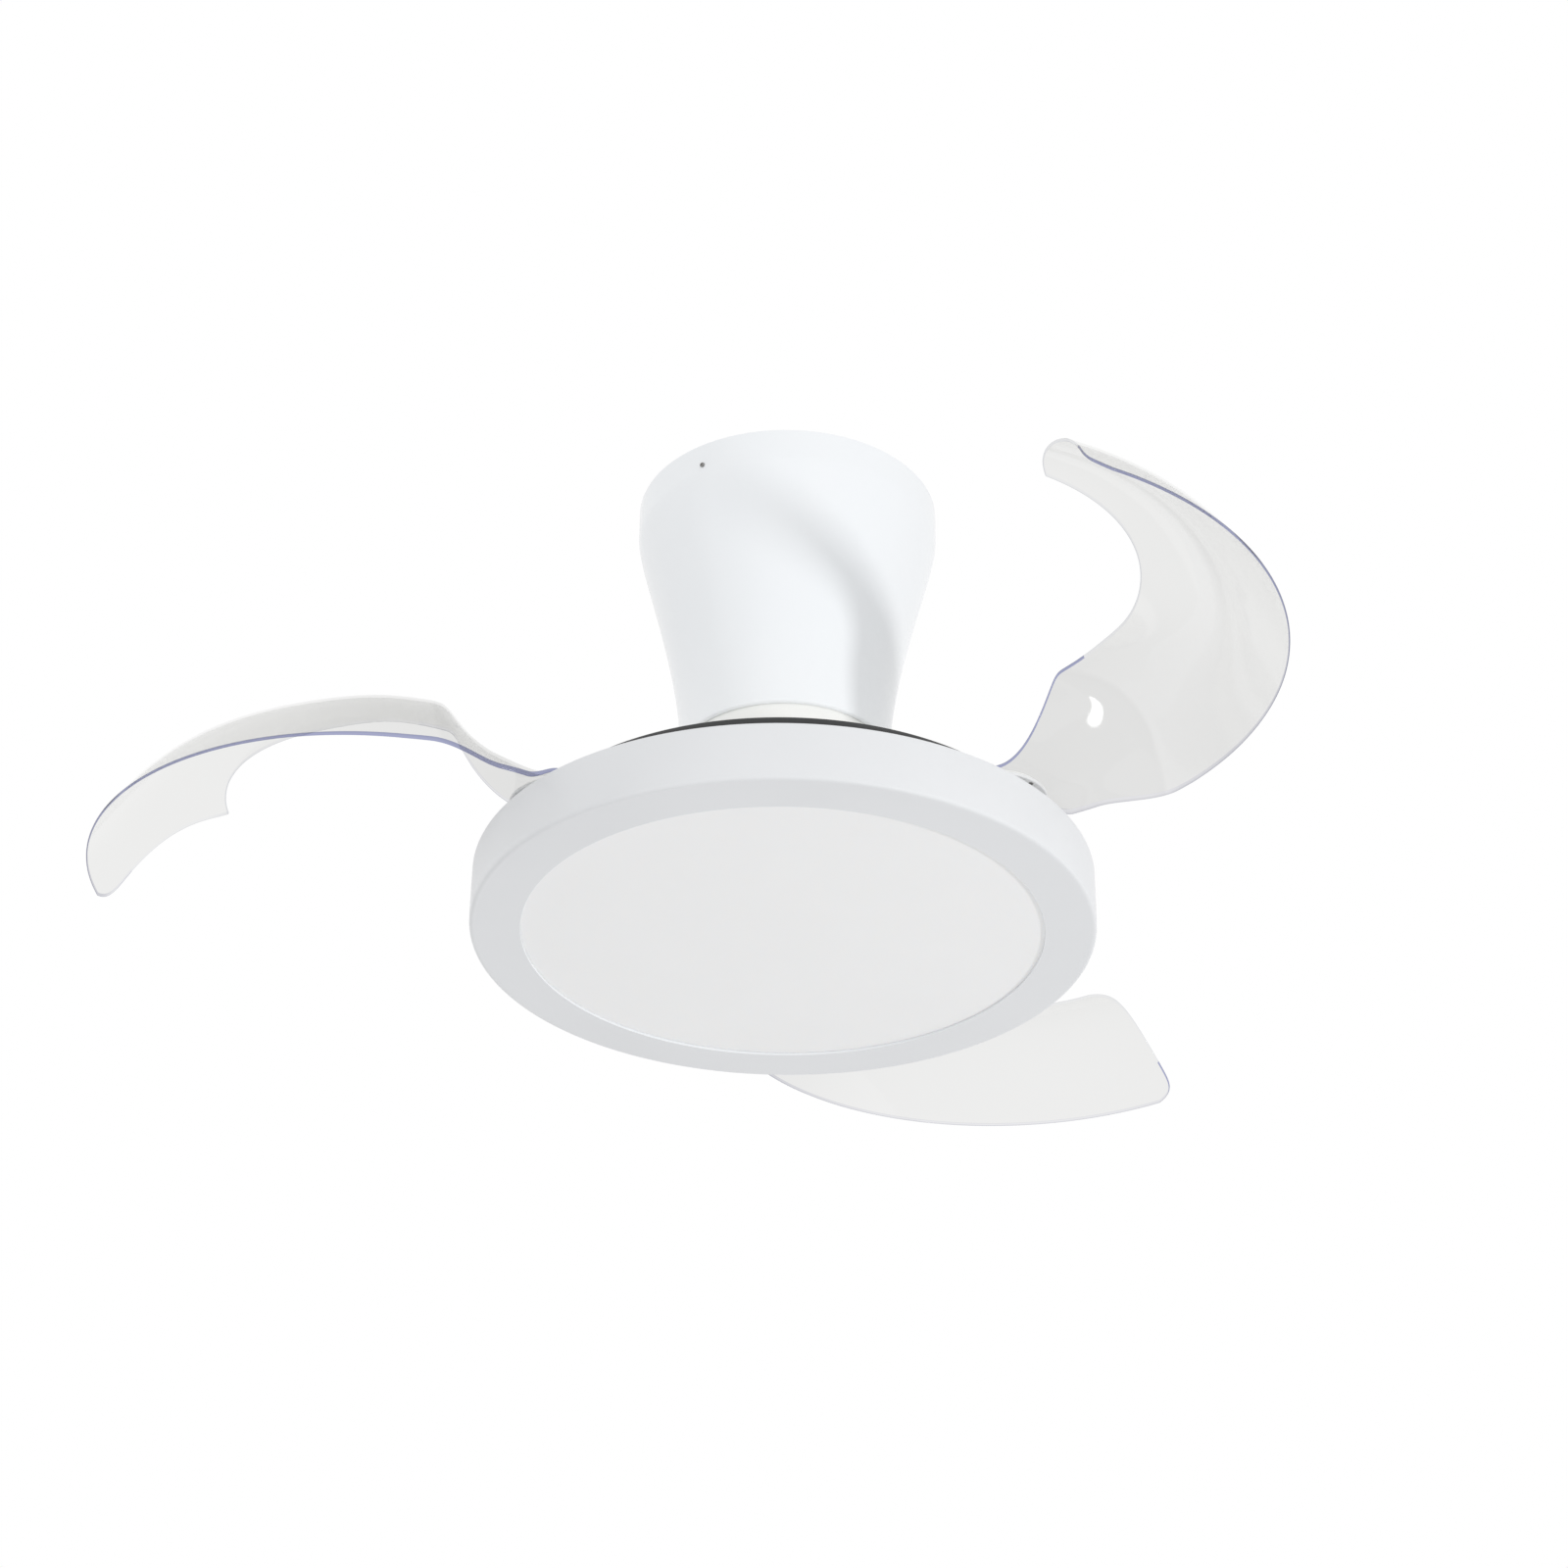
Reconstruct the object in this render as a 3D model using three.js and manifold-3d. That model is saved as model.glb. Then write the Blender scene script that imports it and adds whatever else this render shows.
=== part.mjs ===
// A ceiling fan with a lamp and three clear blades that fold away over the lamp when it stops.
// Millimetres, +Z up. The origin is the middle of the face that lies on the ceiling, and the fan hangs below it.
import * as THREE from "three";
import { mergeVertices } from "three/addons/utils/BufferGeometryUtils.js";
import Module from "manifold-3d";

const wasm = await Module();
wasm.setup();

// ---------------------------------------------------------------- driving dimensions
const overallHeight = 383;      // ceiling to the underside of the lamp
const bladeCount = 3;
const pivotAzimuth = -33.2;     // degrees, where the first blade's pivot stands

// clearances
const seatGap = 0.3;            // between pieces that are bolted or pressed together
const runningGap = 0.3;         // between a turning piece and its bearing
const pinFit = 0.3;             // around a pin or screw in its hole

// lamp
const panRadius = 233;
const panDepth = 45;
const panWall = 1.2;
const panFillet = 3;
const lampOpeningRadius = 195;
const lampLip = 2;              // thickness of the ring that the diffuser lies on
const diffuserOverlap = 5;
const diffuserThickness = 2.4;
const lidThickness = 1.2;
const lampPostCount = 3;
const lampPostRadius = 4;
const lampPostCircle = 122;
const ledBoardOuter = 178;
const ledBoardInner = 62;
const ledBoardThickness = 1.6;
const ledBoardDrop = 20;        // from the lid down to the board
const ledRings = [95, 150];
const ledsPerRing = 8;
const ledSize = 6;
const ledHeight = 1;
const ledSink = 0.1;            // how deep a chip sits in the board
const driverLength = 96;
const driverWidth = 38;
const driverHeight = 17;
const driverRadius = 108;       // distance of the driver's middle from the axis

// blade gearing: one sun gear turns all three blade pinions together
const gearModule = 3;
const sunTeeth = 108;
const pinionTeeth = 15;
const pressureAngle = 25;       // degrees
const backlash = 0.6;
const gearThickness = 6;
const foldAngle = 107.5;        // degrees that a blade turns between open and folded
const sunWindowInner = 66;
const sunWindowOuter = 138;
const sunWindowSpan = 62;       // degrees
const stopCircle = 110;
const stopStudRadius = 3;
const stopHeadRadius = 6;
const stopHeadHeight = 1.4;
const toothMargin = 7;          // degrees of plain rim kept between the turn and the next teeth
const retainerWidth = 7.7;
const retainerThickness = 1.2;

// heights of the running gear, counted up from the lid of the lamp
const gearClearance = 5;        // lid to sun gear
const carrierClearance = 17;    // lid to the carrier's rim
const carrierRimDepth = 3.8;
const carrierThickness = 3;
const carrierRimWall = 3;
const carrierRadius = 203;
const lobeRadius = 34;

// blade pivots
const housingRadius = 37;
const housingFlange = 2.5;
const housingBossRadius = 13;
const housingDraft = 1;         // wider at its flange
const housingEdge = 1;
const bushWall = 3;
const bushFlange = 1.2;
const bushCollar = 2;
const pinRadius = 5;
const pinHeadRadius = 9;
const pinHeadHeight = 2.6;
const pinHeadEdge = 1.2;
const rivetHeight = 1.4;
const rivetWidth = 2;
const washerRadius = 18;
const washerThickness = 1;
const clampRadius = 18.5;
const clampThickness = 4;
const clampEdgeHeight = 1.5;
const clampEdgeWidth = 2.5;

// blades, as they lie folded around the axis
const bladeInnerRadius = 138.8;
const bladeOuterRadius = 236.9;
const bladeTipWidening = 2.7;   // how much further out the outer edge runs at the tip
const bladeRootHalfWidth = 32;
const bladeThickness = 2.6;
const bladeRootBead = 2.4;      // extra thickness of the outer edge beside the root
const beadWidth = 0.3;          // share of the blade's width that the bead fades over
const beadEnd = 60;             // degrees from the pivot, where the bead ends
const bladeCrest = 54.3;        // rise of the inner edge over the root, after the riser
const bladeCrestGain = 27.2;    // further rise of the arch towards the tip
const bladeInnerSag = 18;       // how far the inner edge curls down again at the tip
const bladeRidge = 5;           // rise of the hump just after the riser
const ridgeAngle = 42;          // degrees from the pivot, the middle of that hump
const ridgeSpread = 16;
const bladeDropStart = 11.1;    // how far the outer edge lies below the root at the riser
const bladeDropEnd = 0;         // the same at the tip
const bladeArch = 2.89;         // exponent of the cross-section at the riser
const bladeArchEnd = 1.79;      // the same at the tip
const bladeTipAngle = 142;      // degrees from the pivot
const bladeTipReach = 3;        // degrees that the tip's outer side runs on
const bladeTipSweep = 5.2;      // degrees that the tip's inner corner lies further back
const tipSweepPower = 8.5;
const bladeTipRounding = 4.5;   // degrees that the tip's outer corner is rounded by
const tipRoundingPower = 30;
const riserStart = 8.5;         // degrees from the pivot, where the flat root ends
const riserInnerLead = 5.5;     // how much earlier it ends on the inner edge
const riserInnerAngle = 24.3;   // the crease at the head of the riser, on the inner edge
const riserOuterAngle = 37.6;   // the same on the outer edge
const creasePower = 0.8;        // how the crease bows between the two
const riserPower = 1.4;
const riserInnerPower = 1.9;
const riserInnerFade = 3;       // how closely both of these keep to the inner edge
const rootDipStart = 6.5;       // the root's outer edge bends down between these angles
const rootDipEnd = 14;
const rootDipWidth = 0.24;      // share of the root's width that bends down
const flareStart = 19.1;
const flareEnd = 33.6;

// motor
const motorRadius = 77.5;
const motorHeight = 101;
const motorSplit = 52;          // height of the joint between the two shells
const motorWall = 3.6;
const motorEdge = 5;
const hubRadius = 40;
const hubEndGap = 3.4;          // lid to the lower end of the hub
const hubBoreRoom = 6;          // around the shaft, inside the ends of the shells
const bearingOuter = 20;
const bearingBore = 8.8;
const bearingWidth = 12;
const bearingGroove = 1.2;
const raceSpacing = 6;          // between the two races, where the balls run
const statorTeeth = 9;
const statorHeight = 26;
const statorToothWidth = 10;
const statorBackRadius = 34;
const statorShoeDepth = 4;
const statorSlotMouth = 4;
const toothRoot = 2;            // how far a tooth starts inside the back ring
const airGap = 1;
const magnetThickness = 4;
const magnetHeight = 34;
const coilOverhang = 6;
const coilGap = 8;
const coilFootWidth = 4;        // the ring at the foot of the coils that joins them

// return spring, a flat spiral around the hub
const springTurns = 3;
const springWire = 1.1;         // radius of the wire
const springPitch = 3.4;
const springClearance = 1.4;    // hub to the innermost turn

// shaft and suspension
const shaftRadius = 8.5;
const shaftBore = 5;
const statorSeatRadius = 12;
const shaftCollarWidth = 3;
const shaftCollarHeight = 4;
const wireWindowRadius = 2.5;
const wireWindowRise = 6;       // over the stator
const shaftTopRadius = 10;
const shaftEngagement = 34;     // length of the shaft inside the down rod
const lampNutAcross = 27;
const lampNutHeight = 11;
const shaftTail = 2;
const spacerRadius = 13.5;
const rodRadius = 13.4;
const rodWall = 3;
const rodPinRadius = 3;
const rodPinHead = [5, 2.4];    // radius and thickness
const rodEndGap = 2.6;          // motor to the lower end of the rod
const pinTail = 4;              // how far a cross pin stands out behind
const yokeArmWidth = 30;
const yokeThickness = 4;
const yokeLength = 52;
const yokeDepth = 52;
const yokePinDrop = 32;
const hangerPinRadius = 4;
const hangerPinHead = [6.5, 3];

// ceiling bracket
const bracketThickness = 3;
const bracketWidth = 46;
const earDepth = 26;
const earWidth = 24;
const earTaper = 26;            // length over which the bar narrows to the ear
const bracketAzimuth = 56;      // degrees
const slotLength = 30;
const slotWidth = 6.5;
const slotMargin = 4.5;         // metal between a slot and its ear
const cableHoleRadius = 9;
const cableHoleOffset = 40;

// canopy
const canopyTopRadius = 118.6;
const canopyRimRadius = 80.9;
const canopyRimOverlap = 11.1;  // how far the rim hangs down over the motor
const canopyBand = 24;          // height of the straight band under the ceiling
const canopyWall = 1.2;
const canopyLip = 1.4;
const canopyLowerPull = 0.38;
const canopyUpperPull = 0.12;
const canopyScrewDrop = 20;
const canopyScrewRadius = 1.6;
const canopyScrewHead = 2.8;
const canopyScrewHeadHeight = 1.6;
const canopyScrewCrown = 0.6;   // share of the head that its flat crown takes
const canopyScrewEdge = 0.6;
const canopyScrewLength = 9;

// electrical boxes under the bracket
const receiverSize = [40, 68, 24];
const terminalSize = [20, 44, 15];
const boxEdge = 2;
const boxGap = 1;
const terminalPoles = 4;
const terminalMouth = [6, 6];   // width and height of a wire's mouth
const terminalMouthDrop = 9;

// facets
const wideFacets = 44;
const midFacets = 28;
const roundFacets = 20;
const smallFacets = 16;
const tinyFacets = 12;
const canopySteps = 7;
const plainRimSteps = 8;

// ---------------------------------------------------------------- levels and radii that follow
const zLamp = -overallHeight;
const zLid = zLamp + panDepth;
const zGear = zLid + gearClearance;
const zCarrierRim = zLid + carrierClearance;
const zCarrier = zCarrierRim + carrierRimDepth;
const zCarrierTop = zCarrier + carrierThickness;
const zRoot = zCarrierTop + seatGap + washerThickness + seatGap;
const zMotor = zCarrierTop + seatGap;
const zMotorTop = zMotor + motorHeight;
const zHubEnd = zLid + hubEndGap;
const zCanopyRim = zMotorTop - canopyRimOverlap;
const pivotRadius = (gearModule * (sunTeeth + pinionTeeth)) / 2;
const statorRadius = motorRadius - motorWall - seatGap - magnetThickness - airGap;
const zStator = zMotor + (motorHeight - statorHeight) / 2;
const zBearingLow = zHubEnd + motorWall;
const zBearingHigh = zMotorTop - motorWall - bearingWidth;
const zShaftTop = zMotorTop + shaftEngagement;
const zShaftEnd = zLid - lidThickness - seatGap - lampNutHeight - shaftTail;
const rad = THREE.MathUtils.degToRad;
const clamp01 = (x) => Math.min(1, Math.max(0, x));
const smooth = (x) => THREE.MathUtils.smoothstep(x, 0, 1);

// ---------------------------------------------------------------- ways of making a form
// A profile of [radius, height] pairs, turned about +Z. A ring's profile is closed here.
function turned(profile, facets) {
  const points = profile.map(([r, z]) => new THREE.Vector2(r, z));
  const area = THREE.ShapeUtils.area(points);
  if (area < 0) points.reverse();
  const ring = points.every((p) => p.x > 0);
  if (ring) points.push(points[0].clone());
  return new THREE.LatheGeometry(points, facets).rotateX(Math.PI / 2);
}

// A flat outline, raised from height z by a thickness.
function plate(shape, z, thickness, curveSegments = 6) {
  const options = { depth: thickness, bevelEnabled: false, curveSegments };
  return new THREE.ExtrudeGeometry(shape, options).translate(0, 0, z);
}

function disc(radius, z, height, facets = smallFacets) {
  return turned([[0, z], [radius, z], [radius, z + height], [0, z + height]], facets);
}

function tube(outer, inner, z, height, facets = smallFacets) {
  return turned([[inner, z], [outer, z], [outer, z + height], [inner, z + height]], facets);
}

function block(x, y, z, centre) {
  return new THREE.BoxGeometry(x, y, z).translate(...centre);
}

function toSolid(geometry) {
  const bare = geometry.clone();
  for (const name of Object.keys(bare.attributes)) {
    if (name !== "position") bare.deleteAttribute(name);
  }
  const merged = mergeVertices(bare, 1e-4);
  const triVerts = new Uint32Array(merged.index.array);
  const vertProperties = merged.attributes.position.array;
  return new wasm.Manifold(new wasm.Mesh({ numProp: 3, vertProperties, triVerts }));
}

function toGeometry(solid) {
  const mesh = solid.getMesh();
  const geometry = new THREE.BufferGeometry();
  geometry.setAttribute("position", new THREE.BufferAttribute(mesh.vertProperties, 3));
  geometry.setIndex(new THREE.BufferAttribute(mesh.triVerts, 1));
  geometry.computeVertexNormals();
  return geometry;
}

function cut(body, ...tools) {
  return toGeometry(tools.reduce((rest, tool) => rest.subtract(toSolid(tool)), toSolid(body)));
}

function join(body, ...others) {
  return toGeometry(others.reduce((whole, other) => whole.add(toSolid(other)), toSolid(body)));
}

// Copies of a geometry turned about +Z to each angle in degrees.
function turnedTo(geometry, angles) {
  return angles.map((angle) => geometry.clone().rotateZ(rad(angle)));
}

function evenAngles(count, first = 0) {
  return Array.from({ length: count }, (_, i) => first + (360 * i) / count);
}

// A cylinder that lies along +X from one distance to another at height z.
function crossBar(radius, from, to, z, facets = tinyFacets) {
  return new THREE.CylinderGeometry(radius, radius, to - from, facets)
    .rotateZ(Math.PI / 2)
    .translate((from + to) / 2, 0, z);
}

// Points along an arc of a circle, from one angle to another in degrees.
function arcPoints(x, y, radius, from, to, steps) {
  return Array.from({ length: steps + 1 }, (_, i) => {
    const angle = rad(from + ((to - from) * i) / steps);
    return new THREE.Vector2(x + radius * Math.cos(angle), y + radius * Math.sin(angle));
  });
}

// A round-ended slot along an arc of a circle, from one angle to another in degrees.
function arcSlot(radius, halfWidth, from, to, sideSteps, endSteps) {
  const end = (angle) => [radius * Math.cos(rad(angle)), radius * Math.sin(rad(angle))];
  return new THREE.Path([
    ...arcPoints(0, 0, radius + halfWidth, from, to, sideSteps),
    ...arcPoints(...end(to), halfWidth, to, to + 180, endSteps).slice(1),
    ...arcPoints(0, 0, radius - halfWidth, to, from, sideSteps).slice(1),
    ...arcPoints(...end(from), halfWidth, from + 180, from + 360, endSteps).slice(1, -1),
  ]);
}

// ---------------------------------------------------------------- finishes
function finish(color, roughness, metalness = 0) {
  return new THREE.MeshStandardMaterial({ color, roughness, metalness });
}
const whiteGloss = finish(0xf2f3f5, 0.25);
const whiteSatin = finish(0xeff0ec, 0.45);
const whiteMatte = finish(0xe9ebee, 0.5);
const blackSatin = finish(0x2a2b2b, 0.45);
const opal = finish(0xf4f4f2, 0.35);
const clearGrey = finish(0xdfe2e6, 0.08);
clearGrey.transparent = true;
clearGrey.opacity = 0.35;
const zinc = finish(0xb9bcc0, 0.4, 0.9);
const steel = finish(0x9a9da1, 0.3, 1);
const laminated = finish(0x6c6e72, 0.5, 0.9);
const copper = finish(0xb56a3a, 0.35, 0.9);
const ferrite = finish(0x34363a, 0.6, 0.3);
const nylon = finish(0xe8e6df, 0.55);
const sintered = finish(0xa6803f, 0.5, 0.8);

const fan = new THREE.Group();
const stationary = new THREE.Group();
const rotor = new THREE.Group();
fan.add(stationary, rotor);

function add(group, name, geometry, material) {
  const mesh = new THREE.Mesh(geometry, material);
  mesh.name = name;
  group.add(mesh);
  return mesh;
}

// ---------------------------------------------------------------- ceiling bracket and suspension
const bracketGroup = new THREE.Group();
bracketGroup.rotation.z = rad(bracketAzimuth);
stationary.add(bracketGroup);

// The canopy's outline: a curve from the rim up to the straight band under the ceiling.
const canopySlope = -zCanopyRim - canopyBand;
const canopyCurve = new THREE.CubicBezierCurve(
  new THREE.Vector2(canopyRimRadius, zCanopyRim),
  new THREE.Vector2(canopyRimRadius, zCanopyRim + canopyLowerPull * canopySlope),
  new THREE.Vector2(canopyTopRadius, -canopyBand - canopyUpperPull * canopySlope),
  new THREE.Vector2(canopyTopRadius, -canopyBand),
);

// Outer radius of the canopy at a height.
function canopyRadiusAt(z) {
  if (z >= -canopyBand) return canopyTopRadius;
  let low = 0;
  let high = 1;
  for (let i = 0; i < 40; i++) {
    const middle = (low + high) / 2;
    if (canopyCurve.getPoint(middle).y < z) low = middle;
    else high = middle;
  }
  return canopyCurve.getPoint((low + high) / 2).x;
}

const canopyRoom = (canopyRadiusAt(-earDepth) - canopyWall) * Math.cos(Math.PI / wideFacets);
const earReach = Math.sqrt((canopyRoom - seatGap) ** 2 - (earWidth / 2) ** 2);

const slotDistance = earReach - bracketThickness - slotMargin - slotLength / 2;

function slotHole(distance) {
  const half = slotLength / 2 - slotWidth / 2;
  const path = new THREE.Path();
  path.absarc(distance + half, 0, slotWidth / 2, -Math.PI / 2, Math.PI / 2, false);
  path.absarc(distance - half, 0, slotWidth / 2, Math.PI / 2, (3 * Math.PI) / 2, false);
  return path;
}

function ceilingBracket() {
  const half = bracketWidth / 2;
  const neck = earReach - earTaper;
  const side = [[-earReach, -earWidth / 2], [-neck, -half], [neck, -half], [earReach, -earWidth / 2]];
  const otherSide = side.map(([x, y]) => [-x, -y]);
  const bar = new THREE.Shape([...side, ...otherSide].map(([x, y]) => new THREE.Vector2(x, y)));
  const cableHole = new THREE.Path();
  cableHole.absarc(cableHoleOffset, 0, cableHoleRadius, 0, 2 * Math.PI, true);
  bar.holes.push(slotHole(slotDistance), slotHole(-slotDistance), cableHole);
  const top = plate(bar, -bracketThickness, bracketThickness, 4);
  const earX = earReach - bracketThickness / 2;
  const ear = block(bracketThickness, earWidth, earDepth, [earX, 0, -earDepth / 2]);
  const otherEar = ear.clone().rotateZ(Math.PI);
  const tapped = canopyScrewRadius + pinFit;
  const holes = crossBar(tapped, -earReach - 1, earReach + 1, -canopyScrewDrop);
  return cut(join(top, ear, otherEar), holes);
}
add(bracketGroup, "ceiling_bracket", ceilingBracket(), zinc);

const zYoke = -bracketThickness - seatGap;
const yokeInside = rodRadius + seatGap;

function hangerYoke() {
  const armX = yokeInside + yokeThickness / 2;
  const top = block(yokeLength, yokeArmWidth, yokeThickness, [0, 0, zYoke - yokeThickness / 2]);
  const arm = block(yokeThickness, yokeArmWidth, yokeDepth, [armX, 0, zYoke - yokeDepth / 2]);
  const otherArm = arm.clone().rotateZ(Math.PI);
  const reach = armX + yokeThickness;
  const pinHole = crossBar(hangerPinRadius + pinFit, -reach, reach, zYoke - yokePinDrop);
  return cut(join(top, arm, otherArm), pinHole);
}
const zRodTop = zYoke - yokeThickness - seatGap;
const yokeOutside = yokeInside + yokeThickness;
add(bracketGroup, "hanger_yoke", hangerYoke(), zinc);

// A headed cross pin along X: a stepped profile turned, then laid over.
function crossPin(radius, reach, [headRadius, headThickness], z) {
  const body = turned(
    [[0, -reach - pinTail], [radius, -reach - pinTail], [radius, reach + seatGap],
      [headRadius, reach + seatGap], [headRadius, reach + seatGap + headThickness],
      [0, reach + seatGap + headThickness]],
    tinyFacets,
  );
  return body.rotateY(Math.PI / 2).translate(0, 0, z);
}
const zHangerPin = zYoke - yokePinDrop;
add(bracketGroup, "hanger_pin", crossPin(hangerPinRadius, yokeOutside, hangerPinHead, zHangerPin), steel);

const zRodEnd = zMotorTop + rodEndGap;
const zRodPin = (zRodEnd + zShaftTop) / 2;

function downRod() {
  const wall = tube(rodRadius, rodRadius - rodWall, zRodEnd, zRodTop - zRodEnd);
  const reach = rodRadius + 1;
  const upper = crossBar(hangerPinRadius + pinFit, -reach, reach, zHangerPin);
  const lower = crossBar(rodPinRadius + pinFit, -reach, reach, zRodPin);
  return cut(wall, upper, lower);
}
add(bracketGroup, "down_rod", downRod(), whiteSatin);
add(bracketGroup, "rod_pin", crossPin(rodPinRadius, rodRadius, rodPinHead, zRodPin), steel);

function motorShaft() {
  const seatLow = zStator - shaftCollarHeight;
  const collarRadius = statorSeatRadius + shaftCollarWidth;
  const seatHigh = zStator + statorHeight;
  const turnedShaft = turned(
    [[shaftBore, zShaftEnd], [shaftRadius, zShaftEnd], [shaftRadius, seatLow],
      [collarRadius, seatLow], [collarRadius, zStator - seatGap],
      [statorSeatRadius, zStator - seatGap], [statorSeatRadius, seatHigh],
      [shaftRadius, seatHigh], [shaftRadius, zMotorTop + seatGap],
      [shaftTopRadius, zMotorTop + seatGap], [shaftTopRadius, zShaftTop],
      [shaftBore, zShaftTop]],
    tinyFacets,
  );
  const reach = shaftTopRadius + 1;
  const zWindow = seatHigh + wireWindowRise;
  const wireWindow = crossBar(wireWindowRadius, 0, statorSeatRadius + 1, zWindow);
  return cut(turnedShaft, crossBar(rodPinRadius + pinFit, -reach, reach, zRodPin), wireWindow);
}
add(bracketGroup, "motor_shaft", motorShaft(), steel);

// ---------------------------------------------------------------- wiring boxes under the bracket
function roundedBox([x, y, z], edge) {
  const shape = new THREE.Shape();
  const hx = x / 2 - edge;
  const hy = y / 2 - edge;
  shape.absarc(hx, hy, edge, 0, Math.PI / 2, false);
  shape.absarc(-hx, hy, edge, Math.PI / 2, Math.PI, false);
  shape.absarc(-hx, -hy, edge, Math.PI, 1.5 * Math.PI, false);
  shape.absarc(hx, -hy, edge, 1.5 * Math.PI, 2 * Math.PI, false);
  return plate(shape, -z, z, 3);
}

const boxTop = -bracketThickness - seatGap;
const receiverX = -(yokeLength / 2 + boxGap + receiverSize[0] / 2);
const receiver = roundedBox(receiverSize, boxEdge).translate(receiverX, 0, boxTop);
add(bracketGroup, "receiver_box", receiver, whiteMatte);

// Its wires enter from both sides, each through a mouth in front of its clamping screw.
function terminalBlock() {
  const [width, length, height] = terminalSize;
  const body = block(width, length, height, [0, 0, -height / 2]);
  const pitch = length / terminalPoles;
  const [mouthWidth, mouthHeight] = terminalMouth;
  const mouths = Array.from({ length: terminalPoles }, (_, i) => {
    const y = -length / 2 + pitch * (i + 0.5);
    return block(width + 2, mouthWidth, mouthHeight, [0, y, -terminalMouthDrop]);
  });
  return cut(body, ...mouths);
}
const terminalX = cableHoleOffset + cableHoleRadius + seatGap + terminalSize[0] / 2;
add(bracketGroup, "terminal_block", terminalBlock().translate(terminalX, 0, boxTop), nylon);

// ---------------------------------------------------------------- canopy
function canopy() {
  const slope = canopyCurve.getPoints(canopySteps).map((p) => [p.x, p.y]);
  const outer = [...slope, [canopyTopRadius, 0]];
  const inner = outer.map(([r, z]) => [r - canopyWall, z]).reverse();
  const lip = [[canopyRimRadius - canopyWall - canopyLip, zCanopyRim + canopyWall],
    [canopyRimRadius - canopyWall - canopyLip, zCanopyRim]];
  inner[inner.length - 1][1] += canopyWall;
  const shell = turned([...outer, ...inner, ...lip], wideFacets);
  const reach = canopyTopRadius + canopyScrewHead;
  const screwHoles = crossBar(canopyScrewRadius + pinFit, -reach, reach, -canopyScrewDrop);
  return cut(shell, screwHoles.rotateZ(rad(bracketAzimuth)));
}
add(stationary, "canopy", canopy(), whiteGloss);

function canopyScrew() {
  const seat = canopyRadiusAt(-canopyScrewDrop) + 2 * seatGap;
  const profile = [[0, seat - canopyScrewLength], [canopyScrewRadius, seat - canopyScrewLength],
    [canopyScrewRadius, seat], [canopyScrewHead, seat], [canopyScrewHead, seat + canopyScrewEdge],
    [canopyScrewHead * canopyScrewCrown, seat + canopyScrewHeadHeight],
    [0, seat + canopyScrewHeadHeight]];
  return turned(profile, tinyFacets).rotateY(Math.PI / 2).translate(0, 0, -canopyScrewDrop);
}
evenAngles(2, bracketAzimuth).forEach((angle, i) => {
  add(stationary, `canopy_screw_${i + 1}`, canopyScrew(), zinc).rotation.z = rad(angle);
});

// ---------------------------------------------------------------- lamp
const panInside = panRadius - panWall;
const lidRadius = panInside - seatGap;

function lightPan() {
  const corner = [0, 1, 2].map((i) => {
    const angle = (i / 2) * (Math.PI / 2);
    return [panRadius - panFillet + panFillet * Math.sin(angle),
      zLamp + panFillet - panFillet * Math.cos(angle)];
  });
  return turned(
    [[lampOpeningRadius, zLamp], ...corner, [panRadius, zLid - 1], [panRadius - 1, zLid],
      [panInside, zLid], [panInside, zLamp + panFillet], [panInside - panFillet, zLamp + lampLip],
      [lampOpeningRadius, zLamp + lampLip]],
    wideFacets,
  );
}
add(stationary, "light_pan", lightPan(), whiteMatte);

const zDiffuser = zLamp + lampLip + seatGap;
const diffuserRadius = lampOpeningRadius + diffuserOverlap;
add(stationary, "diffuser", disc(diffuserRadius, zDiffuser, diffuserThickness, wideFacets), opal);

const zBoard = zLid - lidThickness - ledBoardDrop;

function panLid() {
  const sheet = tube(lidRadius, shaftRadius + pinFit, zLid - lidThickness, lidThickness, wideFacets);
  const length = ledBoardDrop - seatGap - ledBoardThickness;
  const foot = zLid - lidThickness - length;
  const post = disc(lampPostRadius, foot, length + lidThickness / 2, tinyFacets);
  post.translate(lampPostCircle, 0, 0);
  return join(sheet, ...turnedTo(post, evenAngles(lampPostCount)));
}
add(stationary, "pan_lid", panLid(), whiteMatte);

function ledBoard() {
  const sheet = tube(ledBoardOuter, ledBoardInner, zBoard, ledBoardThickness, midFacets);
  const chips = ledRings.flatMap((radius) => {
    const centre = [radius, 0, zBoard - (ledHeight - ledSink) / 2];
    const chip = block(ledSize, ledSize, ledHeight + ledSink, centre);
    return turnedTo(chip, evenAngles(ledsPerRing));
  });
  return join(sheet, ...chips);
}
add(stationary, "led_board", ledBoard(), whiteMatte);

const zDriver = zLid - lidThickness - seatGap;
const driver = roundedBox([driverWidth, driverLength, driverHeight], boxEdge);
driver.translate(driverRadius, 0, zDriver).rotateZ(rad(180 / lampPostCount));
add(stationary, "led_driver", driver, whiteMatte);

const hexagon = (across) => new THREE.Shape(
  evenAngles(6).map((a) => new THREE.Vector2(Math.cos(rad(a)), Math.sin(rad(a)))
    .multiplyScalar(across / Math.sqrt(3))),
);

function lampNut() {
  const outline = hexagon(lampNutAcross);
  outline.holes.push(new THREE.Path(arcPoints(0, 0, shaftRadius + pinFit, 0, 360, smallFacets)));
  return plate(outline, zDriver - lampNutHeight, lampNutHeight);
}
add(stationary, "lamp_nut", lampNut(), zinc);

const spacerTop = zBearingLow - seatGap;
const spacerFoot = zLid + seatGap;
const spacer = tube(spacerRadius, shaftRadius + pinFit, spacerFoot, spacerTop - spacerFoot);
add(stationary, "lamp_spacer", spacer, zinc);

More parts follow.
